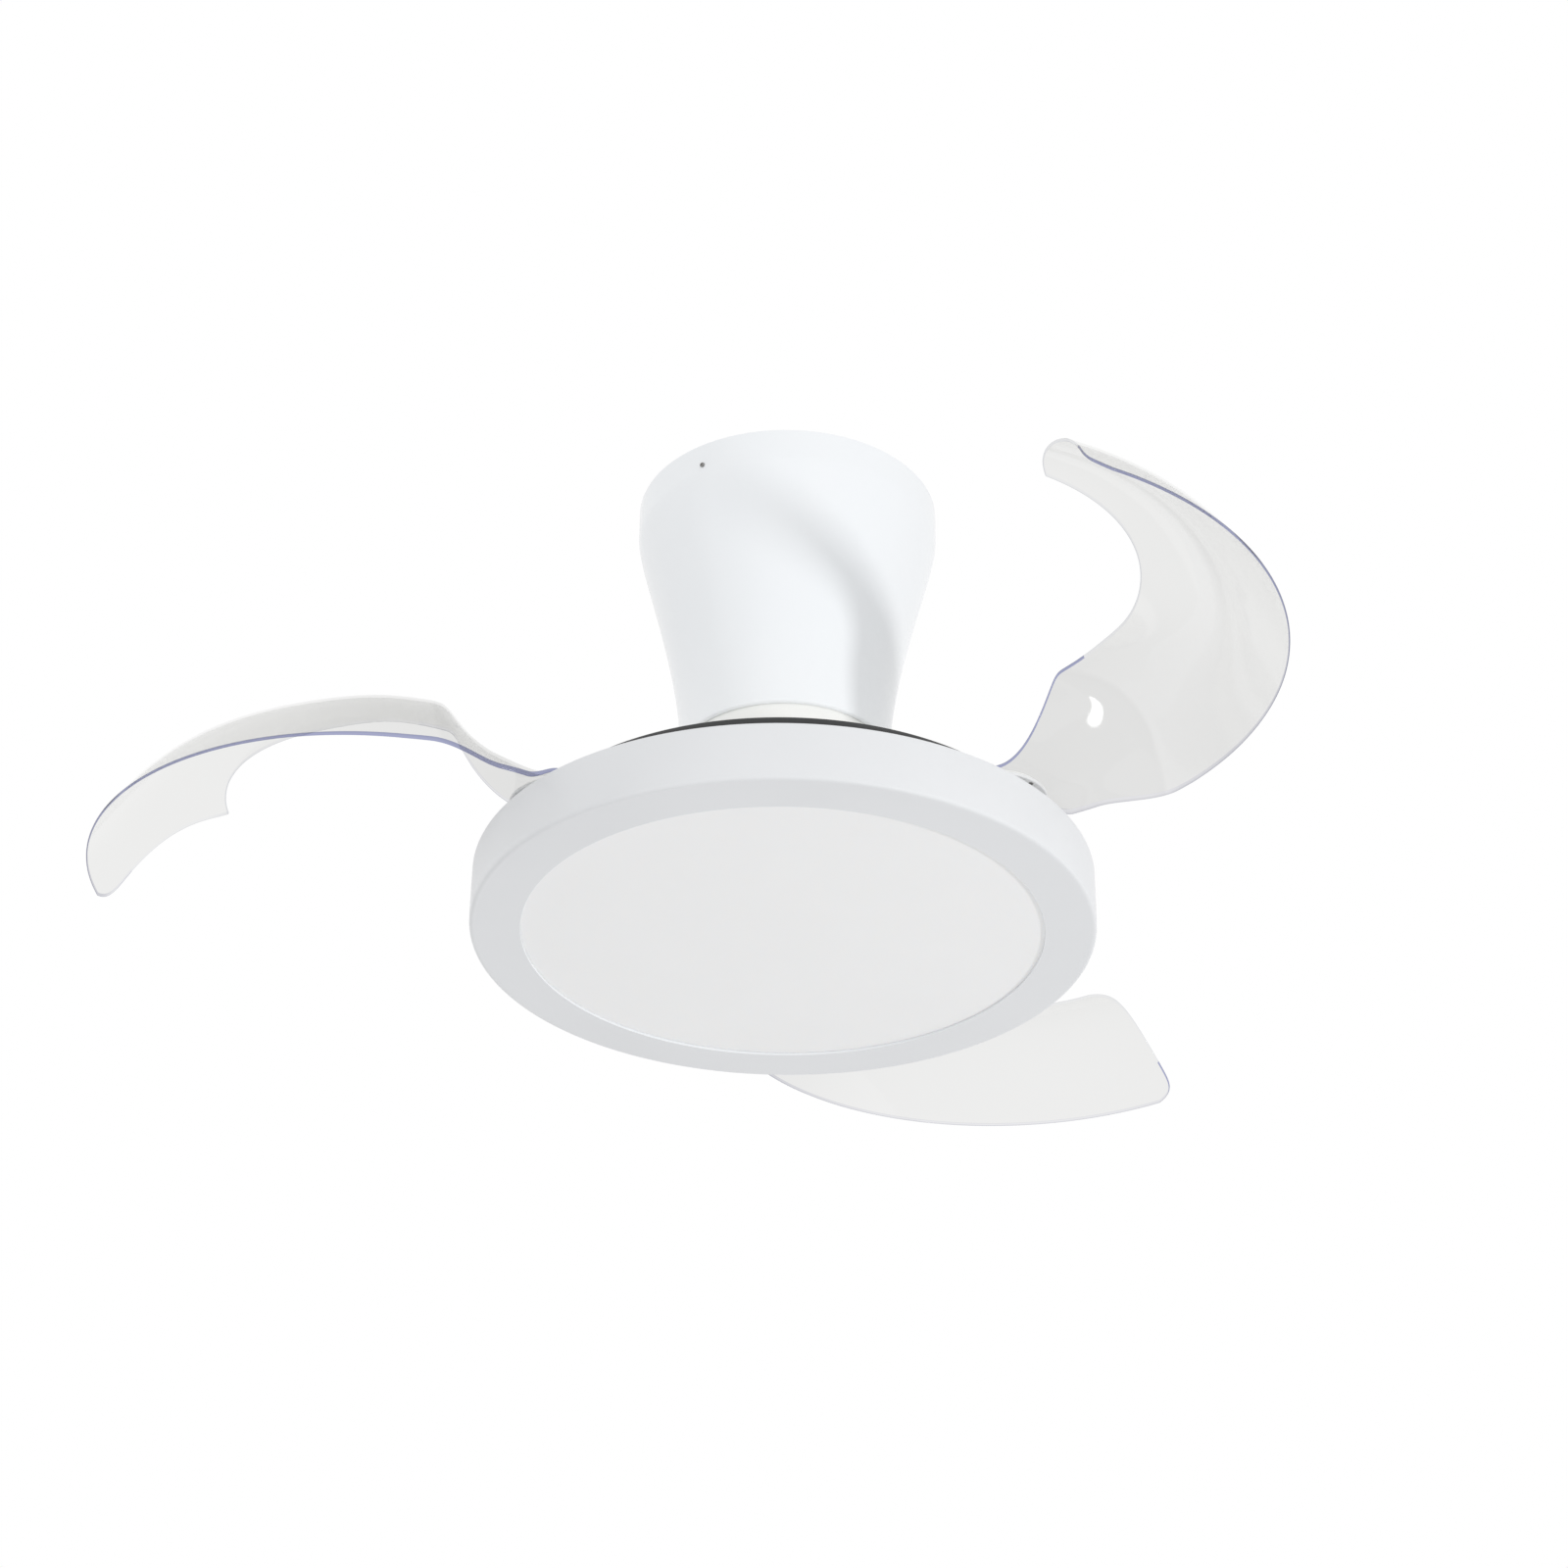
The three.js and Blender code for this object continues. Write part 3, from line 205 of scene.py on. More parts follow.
def start_material(name, plain):
    """A material with a Principled surface, plain values on its sockets, and Object coordinates."""
    material = bpy.data.materials.new(name)
    material.use_nodes = True
    tree = material.node_tree
    surface = tree.nodes["Principled BSDF"]
    for label, value in plain.items():
        surface.inputs[label].default_value = value
    return material, tree, surface, node(tree, "ShaderNodeTexCoord").outputs["Object"]


def place_group(tree, group, vector, values=None):
    """An effect group set into a material, reading the given coordinates."""
    placed = node(tree, "ShaderNodeGroup", node_tree=group)
    for label, value in (values or {}).items():
        placed.inputs[label].default_value = value
    tree.links.new(vector, placed.inputs["Vector"])
    return placed


def spread(tree, mask, low=0.0, high=1.0):
    """A number that runs from low to high as a mask runs over its usual range, 0.3 to 0.7."""
    ramp = node(tree, "ShaderNodeMapRange",
                {"From Min": 0.3, "From Max": 0.7, "To Min": low, "To Max": high})
    tree.links.new(mask, ramp.inputs["Value"])
    return ramp.outputs["Result"]


def mixed(tree, share, first, second, **settings):
    """A colour part of the way from one to another, each of them a colour or a socket."""
    blend = node(tree, "ShaderNodeMix", data_type="RGBA", **settings)
    tree.links.new(share, blend.inputs["Factor"])
    for label, colour in (("A", first), ("B", second)):
        if isinstance(colour, tuple):
            blend.inputs[label].default_value = (*colour, 1.0)
        else:
            tree.links.new(colour, blend.inputs[label])
    return blend.outputs["Result"]


def tint(tree, surface, mask, low, high):
    """Colours the surface from low to high with a mask."""
    tree.links.new(mixed(tree, spread(tree, mask), low, high), surface.inputs["Base Color"])


def vary(tree, surface, label, mask, low, high):
    """Drives a number socket of the surface from low to high with a mask."""
    tree.links.new(spread(tree, mask, low, high), surface.inputs[label])


def bump(tree, surface, height, strength, distance):
    """Raises the surface by a height mask, by at most a distance in metres."""
    relief = node(tree, "ShaderNodeBump", {"Strength": strength, "Distance": distance})
    tree.links.new(height, relief.inputs["Height"])
    tree.links.new(relief.outputs["Normal"], surface.inputs["Normal"])


def metal(name, dark, light, roughness, streak_scale=900.0, cloud_scale=40.0):
    """Bare or plated metal with scratches along one way and cloudy colour."""
    material, tree, surface, place = start_material(name, {"Metallic": 1.0})
    skin = place_group(tree, rolled_metal, place,
                       {"Streak Scale": streak_scale, "Cloud Scale": cloud_scale})
    tint(tree, surface, skin.outputs["Clouds"], dark, light)
    vary(tree, surface, "Roughness", skin.outputs["Streaks"], roughness - 0.08, roughness + 0.1)
    bump(tree, surface, skin.outputs["Height"], 0.25, 0.00004)
    return material


def dress(names, material):
    """Gives carried-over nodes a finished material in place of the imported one."""
    for name in names:
        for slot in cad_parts[name].material_slots:
            slot.material = material


zinc = metal("zinc_plate", (0.52, 0.53, 0.56), (0.7, 0.71, 0.73), 0.34)
bright_steel = metal("ground_steel", (0.46, 0.47, 0.49), (0.62, 0.63, 0.65), 0.24, 1500.0)
dress(["ceiling_bracket", "hanger_yoke", "lamp_nut", "lamp_spacer",
       "stop_stud_1", "stop_stud_2", "stop_stud_3"], zinc)
dress(["hanger_pin", "rod_pin", "motor_shaft", "gear_retainer", "bearing_lower",
       "bearing_upper"], bright_steel)

spring_steel = metal("blued_spring", (0.2, 0.23, 0.33), (0.38, 0.38, 0.44), 0.3, 1800.0)
dress(["return_spring"], spring_steel)

# ------------------------ wiring boxes
# The remote control's receiver is a snap-together box of white moulded plastic beside the yoke, and
# the supply wires meet the fan's in a natural nylon terminal block under the cable hole.


def moulded_group():
    """Moulded plastic: a fine sandy grain from the mould, slow clouds of colour, and broad smears.

    All three are plain noise, the smears slightly warped.
    """
    group, given = effect("moulded_plastic", {"Grain Scale": 1600.0, "Cloud Scale": 25.0})
    grain = noise(group, given["Vector"], given["Grain Scale"], {"Detail": 2.0, "Roughness": 0.7})
    clouds = noise(group, given["Vector"], given["Cloud Scale"], {"Detail": 3.0})
    smears = noise(group, given["Vector"], 9.0, {"Detail": 2.0, "Distortion": 0.3})
    return put_out(group, {"Height": grain, "Clouds": clouds, "Smears": smears})


moulded = moulded_group()


def plastic(name, dark, light, roughness, grain_scale=1600.0, relief=0.25):
    """Solid moulded plastic with mould grain, faint clouds and uneven sheen from handling."""
    material, tree, surface, place = start_material(name, {"IOR": 1.5})
    skin = place_group(tree, moulded, place, {"Grain Scale": grain_scale})
    tint(tree, surface, skin.outputs["Clouds"], dark, light)
    vary(tree, surface, "Roughness", skin.outputs["Smears"], roughness - 0.06, roughness + 0.08)
    bump(tree, surface, skin.outputs["Height"], relief, 0.00005)
    return material


white_plastic = plastic("white_moulding", (0.8, 0.81, 0.82), (0.86, 0.865, 0.87), 0.42)
nylon = plastic("natural_nylon", (0.72, 0.7, 0.64), (0.8, 0.78, 0.73), 0.5, 700.0)
dress(["receiver_box", "led_driver"], white_plastic)
dress(["terminal_block", "sun_gear"], nylon)
dress([f"{part}_{i}" for part in ("blade_pinion", "thrust_washer") for i in (1, 2, 3)], nylon)

# ------------------------ canopy
# A deep cup, spun from thin aluminium, in glossy white powder coat, hides the bracket. Under a short
# straight band at the ceiling it tapers to a neck, whose rim just covers the motor's upper edge.
CANOPY_TOP = 118.6
CANOPY_RIM = 80.9
CANOPY_RIM_HEIGHT = -224.0
CANOPY_BAND = 24.0
CANOPY_WALL = 1.2
CANOPY_LIP = 2.0
CANOPY_LIP_ROUNDING = 1.6
CANOPY_LIP_CHAMFER = 0.2
CANOPY_EDGE = (0.5, 0.6)  # how far the upper edge is cut back, and down
CANOPY_EDGE_SUPPORT = 8.0
CANOPY_PULLS = (0.38, 0.12)  # how far the curve keeps its start and end directions
CANOPY_STEPS = 48
CANOPY_AROUND = 176
SHARP_ANGLE = math.radians(35.0)  # faces that meet at more than this keep a hard edge


def paint_group():
    """Sprayed and baked paint: orange peel, slow differences of tone, and smears from hands.

    All three are plain noise, the smears slightly warped.
    """
    group, given = effect("baked_paint", {"Peel Scale": 420.0, "Tone Scale": 7.0})
    peel = noise(group, given["Vector"], given["Peel Scale"], {"Detail": 1.5, "Roughness": 0.4})
    tone = noise(group, given["Vector"], given["Tone Scale"], {"Detail": 2.0})
    smears = noise(group, given["Vector"], 12.0, {"Detail": 2.0, "Distortion": 0.3})
    return put_out(group, {"Height": peel, "Tone": tone, "Smears": smears})


baked_paint = paint_group()


def paint(name, dark, light, roughness, coat=0.0, peel_scale=420.0, relief=0.12):
    """Painted metal: tone, orange peel and smears over one colour, under a clear gloss or none."""
    material, tree, surface, place = start_material(
        name, {"Coat Weight": coat, "Coat Roughness": 0.06, "IOR": 1.5})
    skin = place_group(tree, baked_paint, place, {"Peel Scale": peel_scale})
    tint(tree, surface, skin.outputs["Tone"], dark, light)
    vary(tree, surface, "Roughness", skin.outputs["Smears"], roughness - 0.02, roughness + 0.03)
    bump(tree, surface, skin.outputs["Height"], relief, 0.0001)
    return material


def soft_profile(corners, radii, steps=5, support=0.25, longest=0.42):
    """A closed profile whose corners are rounded, in millimetres.

    Each corner gives way to a quadratic curve between two points at its radius before and after it,
    with one more point just outside each, which keeps the flat stretches flat in the shading. No
    radius takes more than a given share of the shorter side that meets at its corner.
    """
    corners = np.asarray(corners, dtype=float)
    before = np.roll(corners, 1, axis=0) - corners
    after = np.roll(corners, -1, axis=0) - corners
    length_before = np.linalg.norm(before, axis=1)[:, None]
    length_after = np.linalg.norm(after, axis=1)[:, None]
    shorter = np.minimum(length_before, length_after)
    radii = np.minimum(np.reshape(radii, (-1, 1)), longest * shorter)
    before = before / length_before * radii
    after = after / length_after * radii
    first = corners + before
    last = corners + after
    t = np.linspace(0.0, 1.0, steps + 1)[None, :, None]
    curve = ((1 - t) ** 2 * first[:, None] + 2 * t * (1 - t) * corners[:, None]
             + t ** 2 * last[:, None])
    lead_in = (corners + before * (1 + support))[:, None]
    lead_out = (corners + after * (1 + support))[:, None]
    return np.concatenate([lead_in, curve, lead_out], axis=1).reshape(-1, 2)


def grid_quads(rows, columns, wrap_rows=False, wrap_columns=False):
    """Quads of a grid of points that is stored row by row, each way open or joined to its start."""
    i = np.arange(rows if wrap_rows else rows - 1)[:, None]
    j = np.arange(columns if wrap_columns else columns - 1)[None, :]
    i_next = (i + 1) % rows
    j_next = (j + 1) % columns
    quads = [i * columns + j, i_next * columns + j, i_next * columns + j_next, i * columns + j_next]
    return np.stack(np.broadcast_arrays(*quads), axis=-1).reshape(-1, 4)


def build_piece(name, points, faces, materials, face_slots=None):
    """A mesh object from points in millimetres and faces, shaded smooth except at sharp edges."""
    mesh = bpy.data.meshes.new(name)
    mesh.from_pydata((np.asarray(points) * MM).tolist(), [], [list(face) for face in faces])
    for material in materials:
        mesh.materials.append(material)
    if face_slots is not None:
        mesh.polygons.foreach_set("material_index", np.asarray(face_slots, dtype=np.int32))
    mesh.shade_smooth()
    mesh.set_sharp_from_angle(angle=SHARP_ANGLE)
    mesh.validate()
    piece = bpy.data.objects.new(name, mesh)
    scene.collection.objects.link(piece)
    return piece


def turned_points(profile, segments):
    """Every profile point at evenly spaced angles about Z: x = r cos a, y = r sin a, z = height."""
    angle = np.linspace(0.0, 2 * math.pi, segments, endpoint=False)
    r, z = np.asarray(profile, dtype=float).T
    return np.stack([r[:, None] * np.cos(angle), r[:, None] * np.sin(angle),
                     np.repeat(z[:, None], segments, axis=1)], axis=-1)


def anticlockwise(profile):
    """The profile in the order that makes its turned faces point outwards."""
    r, z = np.asarray(profile, dtype=float).T
    area = np.sum(r * np.roll(z, -1) - np.roll(r, -1) * z)
    return profile if area > 0 else profile[::-1]


def turned_ring(name, profile, segments, materials, centre=(0.0, 0.0, 0.0)):
    """A ring: a closed profile that stays clear of its upright axis, turned about it at a centre."""
    profile = anticlockwise(profile)
    points = turned_points(profile, segments).reshape(-1, 3) + centre
    quads = grid_quads(len(profile), segments, wrap_rows=True, wrap_columns=True)[:, ::-1]
    return build_piece(name, points, quads, materials)


def canopy_outline(steps):
    """Radius and height up a cubic curve: upright at the rim and upright again under the band."""
    t = np.linspace(0.0, 1.0, steps)[:, None]
    fall = -CANOPY_RIM_HEIGHT - CANOPY_BAND
    rim = np.array([CANOPY_RIM, CANOPY_RIM_HEIGHT])
    rim_pull = rim + [0.0, CANOPY_PULLS[0] * fall]
    top = np.array([CANOPY_TOP, -CANOPY_BAND])
    top_pull = top - [0.0, CANOPY_PULLS[1] * fall]
    return ((1 - t) ** 3 * rim + 3 * (1 - t) ** 2 * t * rim_pull
            + 3 * (1 - t) * t ** 2 * top_pull + t ** 3 * top)


outline = canopy_outline(CANOPY_STEPS)
slope = np.gradient(outline, axis=0)
slope /= np.linalg.norm(slope, axis=1)[:, None]
inward = np.stack([-slope[:, 1], slope[:, 0]], axis=-1)
inner_side = outline + inward * CANOPY_WALL
rim_inside = CANOPY_RIM - CANOPY_WALL - CANOPY_LIP
lip_turn = np.linspace(0.0, math.pi / 2, 6)
lip_corner = CANOPY_LIP_ROUNDING * np.column_stack([np.cos(lip_turn) - 1, 1 - np.sin(lip_turn)])
top_inside = CANOPY_TOP - CANOPY_WALL
canopy_profile = np.concatenate([
    [[CANOPY_TOP, -CANOPY_EDGE[1]], [CANOPY_TOP, -CANOPY_EDGE_SUPPORT]],
    outline[::-1][:-1],
    [CANOPY_RIM, CANOPY_RIM_HEIGHT] + lip_corner,
    [[rim_inside + CANOPY_LIP_CHAMFER, CANOPY_RIM_HEIGHT],
     [rim_inside, CANOPY_RIM_HEIGHT + CANOPY_LIP_CHAMFER],
     [rim_inside, CANOPY_RIM_HEIGHT + CANOPY_WALL],
     [CANOPY_RIM - CANOPY_WALL, CANOPY_RIM_HEIGHT + CANOPY_WALL]],
    inner_side[1:],
    [[top_inside, -CANOPY_EDGE_SUPPORT], [top_inside, 0.0], [CANOPY_TOP - CANOPY_EDGE[0], 0.0]],
])
gloss_white = paint("gloss_white_powder_coat", (0.905, 0.93, 0.955), (0.925, 0.945, 0.965), 0.3,
                    coat=0.5, peel_scale=380.0)
canopy = turned_ring("canopy_cup", canopy_profile, CANOPY_AROUND, [gloss_white])
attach(canopy, "mount_and_lamp")
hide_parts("canopy")

# ------------------------ canopy screws
# Two small round-headed machine screws, one on each side, hold the canopy to the bracket's ears.
# They are blackened steel with a cross recess.
BRACKET_AZIMUTH = 56.0
CANOPY_SCREW_DROP = 20.0
CANOPY_SCREW_SEAT = 119.2
CANOPY_SCREW = (1.9, 1.3, 1.5, 9.0)  # head radius and height, shank radius and length
CROWN_STEPS = 16
CROWN_FALL = 0.86  # share of its height, squared, that the crown loses at its rim
HEAD_FOOT = 0.98  # the head's seat as a share of its widest radius
RECESS_WIDTH = 0.2  # of the floor of a cross's arm, as a share of the head's radius
RECESS_REACH = 0.66
RECESS_DEPTH = 0.62  # as a share of the head's height


def closed_rings(rings, poles):
    """Points and faces of stacked rings, closed by a fan of triangles to a pole at each end."""
    rows, around = rings.shape[:2]
    points = np.concatenate([rings.reshape(-1, 3), poles])
    here = np.arange(around)
    after = (here + 1) % around
    first_pole, last_pole = rows * around + np.arange(2)[:, None].repeat(around, axis=1)
    last_ring = (rows - 1) * around
    faces = [grid_quads(rows, around, wrap_columns=True),
             np.stack([first_pole, here, after], axis=-1),
             np.stack([last_pole, last_ring + after, last_ring + here], axis=-1)]
    return points, [face for part in faces for face in part.tolist()]


def screw_points(head_radius, head_height, shank_radius, shank_length, around=40):
    """A cross-recessed round head on its shank, along +Z, with the seat of the head at zero.

    The crown's height falls off as an ellipse. Inside the recess it drops by a depth that fades
    with the distance from the nearer arm of the cross.
    """
    angle = np.linspace(0.0, 2 * math.pi, around, endpoint=False)
    reach = head_radius * np.sqrt(np.linspace(0.0, 1.0, CROWN_STEPS + 1))[1:, None]
    x, y = reach * np.cos(angle), reach * np.sin(angle)
    crown = head_height * np.sqrt(np.clip(1.0 - CROWN_FALL * (reach / head_radius) ** 2, 0.0, 1.0))
    arm_width = RECESS_WIDTH * head_radius
    arm_length = RECESS_REACH * head_radius

    def arm(along, across):
        """1 on the floor of an arm, falling evenly to 0 over one more width at its sides and ends."""
        wide = np.clip(1.5 - np.abs(across) / arm_width, 0.0, 1.0)
        return wide * np.clip((arm_length - np.abs(along)) / arm_width, 0.0, 1.0)

    recess = RECESS_DEPTH * head_height * np.maximum(arm(x, y), arm(y, x))
    top = np.stack([x, y, crown - recess], axis=-1)
    foot = turned_points([[head_radius * HEAD_FOOT, 0.0], [shank_radius, 0.0],
                          [shank_radius, -shank_length]], around)
    rings = np.concatenate([top, foot])
    middle = [[0.0, 0.0, head_height * (1.0 - RECESS_DEPTH)], [0.0, 0.0, -shank_length]]
    return closed_rings(rings, middle)


def spun(points, degrees):
    """Points turned about Z by an angle."""
    a = math.radians(degrees)
    x, y, z = np.asarray(points).T
    return np.stack([x * math.cos(a) - y * math.sin(a), x * math.sin(a) + y * math.cos(a), z],
                    axis=-1)


dark_steel = metal("blackened_steel", (0.24, 0.235, 0.23), (0.36, 0.355, 0.35), 0.4)
points, faces = screw_points(*CANOPY_SCREW)
x, y, z = points.T
lying = np.stack([CANOPY_SCREW_SEAT + z, y, -x - CANOPY_SCREW_DROP], axis=-1)
for number, azimuth in ((1, BRACKET_AZIMUTH), (2, BRACKET_AZIMUTH + 180.0)):
    screw = build_piece(f"canopy_fixing_screw_{number}", spun(lying, azimuth), faces, [dark_steel])
    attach(screw, "mount_and_lamp")
    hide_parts(f"canopy_screw_{number}")

# ------------------------ down rod and motor
# The motor is an outrunner: its two cast shells, painted a warm white, spin with the magnets on two
# ball bearings, around a laminated stator with nine copper coils that is keyed to the shaft.
MOTOR_RADIUS = 77.5
MOTOR_EDGE = 5.0
MOTOR_WALL = 3.6
MOTOR_LOW = -313.9
MOTOR_TOP = -212.9
SHELL_JOINT = -261.9
HUB_RADIUS = 40.0
HUB_END = -334.6
HUB_BORE = 14.5
BEARING_POCKET = 20.3
BEARING_LOW = -331.0
BEARING_HIGH = -228.5
BEARING_WIDTH = 12.0
JOINT_GAP = 0.3
MOTOR_AROUND = 144

warm_white = paint("satin_warm_white", (0.905, 0.91, 0.89), (0.925, 0.93, 0.91), 0.34, coat=0.15,
                   peel_scale=520.0)
dress(["down_rod"], warm_white)

shell_inside = MOTOR_RADIUS - MOTOR_WALL
lower_corners = [
    [HUB_BORE, HUB_END], [HUB_RADIUS, HUB_END], [HUB_RADIUS, MOTOR_LOW],
    [MOTOR_RADIUS, MOTOR_LOW], [MOTOR_RADIUS, SHELL_JOINT - JOINT_GAP],
    [shell_inside, SHELL_JOINT - JOINT_GAP], [shell_inside, MOTOR_LOW + MOTOR_WALL],
    [BEARING_POCKET, MOTOR_LOW + MOTOR_WALL], [BEARING_POCKET, BEARING_LOW - JOINT_GAP],
    [HUB_BORE, BEARING_LOW - JOINT_GAP]]
lower_radii = [0.6, 1.0, 1.5, MOTOR_EDGE, 0.6, 0.6, MOTOR_EDGE, 1.0, 1.0, 0.6]
lower_shell = turned_ring("motor_lower_shell", soft_profile(lower_corners, lower_radii),
                          MOTOR_AROUND, [warm_white])
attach(lower_shell, "rotor")
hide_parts("motor_shell_lower")

boss = BEARING_POCKET + MOTOR_WALL
upper_corners = [
    [MOTOR_RADIUS, SHELL_JOINT + JOINT_GAP], [MOTOR_RADIUS, MOTOR_TOP], [HUB_BORE, MOTOR_TOP],
    [HUB_BORE, BEARING_HIGH + BEARING_WIDTH + JOINT_GAP],
    [BEARING_POCKET, BEARING_HIGH + BEARING_WIDTH + JOINT_GAP], [BEARING_POCKET, BEARING_HIGH],
    [boss, BEARING_HIGH], [boss, MOTOR_TOP - MOTOR_WALL], [shell_inside, MOTOR_TOP - MOTOR_WALL],
    [shell_inside, SHELL_JOINT + JOINT_GAP]]
upper_radii = [0.6, MOTOR_EDGE, 0.6, 0.6, 0.6, 0.6, 0.6, 1.5, MOTOR_EDGE, 0.6]
upper_shell = turned_ring("motor_upper_shell", soft_profile(upper_corners, upper_radii),
                          MOTOR_AROUND, [warm_white])
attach(upper_shell, "rotor")
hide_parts("motor_shell_upper")


def banded_metal(name, plain, waves, cloud_scale, dark, light, gloss, relief):
    """Metal in fine level bands, which come from a wave along Z, with a cloudy sheen."""
    material, tree, surface, place = start_material(name, plain)
    bands = node(tree, "ShaderNodeTexWave", waves, bands_direction="Z")
    tree.links.new(place, bands.inputs["Vector"])
    skin = place_group(tree, rolled_metal, place, {"Cloud Scale": cloud_scale})
    tint(tree, surface, bands.outputs["Fac"], dark, light)
    vary(tree, surface, "Roughness", skin.outputs["Clouds"], *gloss)
    bump(tree, surface, bands.outputs["Fac"], *relief)
    return material


# The core is a stack of thin lacquered sheets, and the coils are enamelled wire, laid turn by turn.
dress(["stator_core"], banded_metal(
    "lacquered_sheets", {"Metallic": 0.9}, {"Scale": 320.0, "Distortion": 0.6}, 90.0,
    (0.1, 0.1, 0.11), (0.26, 0.26, 0.28), gloss=(0.42, 0.6), relief=(0.4, 0.0001)))
dress(["stator_windings"], banded_metal(
    "copper_wire", {"Metallic": 0.85, "Coat Weight": 0.5, "Coat Roughness": 0.2},
    {"Scale": 260.0, "Distortion": 2.0, "Detail": 2.0}, 60.0,
    (0.42, 0.16, 0.06), (0.76, 0.38, 0.2), gloss=(0.26, 0.42), relief=(0.8, 0.0004)))
ferrite = plastic("sintered_ferrite", (0.045, 0.045, 0.05), (0.085, 0.085, 0.09), 0.55, 2600.0,
                  0.5)
dress(["magnet_ring"], ferrite)

# ------------------------ lamp housing
# A shallow pan, pressed from sheet aluminium, in satin cool white, open at the bottom for the light,
# with a lid that the lamp's nut clamps to the shaft. The pan's foot carries the diffuser.
LAMP_LOW = -383.0
LAMP_LID = -338.0
LAMP_AROUND = 224
PAN_RADIUS = 233.0
PAN_WALL = 1.2
PAN_FILLET = 3.0
PAN_OPENING = 195.0
PAN_LIP = 2.0
PAN_LIP_HIGHLIGHT_REACH = 0.35  # faces this close to the opening take the canopy's whiter gloss, a painted highlight on its wall

cool_white = paint("satin_cool_white", (0.785, 0.797, 0.815), (0.815, 0.827, 0.845), 0.4, coat=0.1,
                   peel_scale=560.0)
pan_inside = PAN_RADIUS - PAN_WALL
pan_corners = [[PAN_OPENING, LAMP_LOW], [PAN_RADIUS, LAMP_LOW], [PAN_RADIUS, LAMP_LID],
               [pan_inside, LAMP_LID], [pan_inside, LAMP_LOW + PAN_LIP],
               [PAN_OPENING, LAMP_LOW + PAN_LIP]]
pan_radii = [0.3, PAN_FILLET, 0.5, 0.5, 2.0, 0.15]
pan = turned_ring("lamp_pan", soft_profile(pan_corners, pan_radii), LAMP_AROUND,
                  [cool_white, gloss_white])
# Painted highlight: the opening's wall is given the canopy's whiter gloss, for the light that its
# edge catches.
centres = np.empty(3 * len(pan.data.polygons))
pan.data.polygons.foreach_get("center", centres)
painted_highlight_wall = np.hypot(centres[0::3], centres[1::3]) < (PAN_OPENING + PAN_LIP_HIGHLIGHT_REACH) * MM
pan.data.polygons.foreach_set("material_index", painted_highlight_wall.astype(np.int32))
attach(pan, "mount_and_lamp")
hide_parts("light_pan")
dress(["pan_lid"], cool_white)

# ------------------------ diffuser
# A flat round sheet of opal acrylic lies on the pan's foot and shows through its opening. Its face is
# satin, with a fine haze, and the light engine behind it is off.
DIFFUSER_RADIUS = 200.0
DIFFUSER_LOW = -380.95
DIFFUSER_THICKNESS = 2.4
DIFFUSER_ROUNDING = 0.5
FACE_RINGS = (60.0, 120.0, 180.0)  # rings that divide the diffuser's face
BACK_RING = 100.0


def turned_disc(name, profile, segments, materials):
    """A solid of revolution: an open profile that starts and ends on the axis, turned about Z."""
    profile = np.asarray(profile, dtype=float)
    poles = [[0.0, 0.0, height] for height in profile[[0, -1], 1]]
    points, faces = closed_rings(turned_points(profile[1:-1], segments), poles)
    return build_piece(name, points, [face[::-1] for face in faces], materials)


opal = plastic("opal_acrylic", (0.95, 0.95, 0.95), (0.958, 0.958, 0.958), 0.37, 2400.0, 0.05)
opal_surface = opal.node_tree.nodes["Principled BSDF"]
opal_surface.inputs["Subsurface Weight"].default_value = 0.25
opal_surface.inputs["Subsurface Radius"].default_value = (1.0, 0.9, 0.8)
opal_surface.inputs["Subsurface Scale"].default_value = 0.003
DIFFUSER_HIGH = DIFFUSER_LOW + DIFFUSER_THICKNESS
diffuser_profile = [
    [0.0, DIFFUSER_LOW], *([radius, DIFFUSER_LOW] for radius in FACE_RINGS),
    [DIFFUSER_RADIUS - DIFFUSER_ROUNDING, DIFFUSER_LOW],
    [DIFFUSER_RADIUS, DIFFUSER_LOW + DIFFUSER_ROUNDING],
    [DIFFUSER_RADIUS, DIFFUSER_HIGH - DIFFUSER_ROUNDING],
    [DIFFUSER_RADIUS - DIFFUSER_ROUNDING, DIFFUSER_HIGH],
    [BACK_RING, DIFFUSER_HIGH], [0.0, DIFFUSER_HIGH]]
diffuser = turned_disc("opal_diffuser", diffuser_profile, LAMP_AROUND, [opal])
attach(diffuser, "mount_and_lamp")
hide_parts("diffuser")

# ------------------------ light engine
# A ring of white lacquered circuit board with two circles of light-emitting diodes hangs from the
# lid on three posts, and its driver is a closed white box beside it.


def circuit_board(name):
    """White solder lacquer over copper: faint tracks between the cells of a pattern, and a gloss."""
    material, tree, surface, place = start_material(name, {"Coat Weight": 0.3})
    tracks = node(tree, "ShaderNodeTexVoronoi", {"Scale": 55.0}, feature="DISTANCE_TO_EDGE")
    tree.links.new(place, tracks.inputs["Vector"])
    skin = place_group(tree, moulded, place, {"Grain Scale": 2200.0})
    width = node(tree, "ShaderNodeMapRange", {"From Max": 0.12, "To Min": 0.7, "To Max": 0.3})
    tree.links.new(tracks.outputs["Distance"], width.inputs["Value"])
    tint(tree, surface, width.outputs["Result"], (0.83, 0.84, 0.83), (0.74, 0.78, 0.74))
    vary(tree, surface, "Roughness", skin.outputs["Smears"], 0.3, 0.42)
    bump(tree, surface, width.outputs["Result"], 0.3, 0.00005)
    return material


dress(["led_board"], circuit_board("white_circuit_board"))

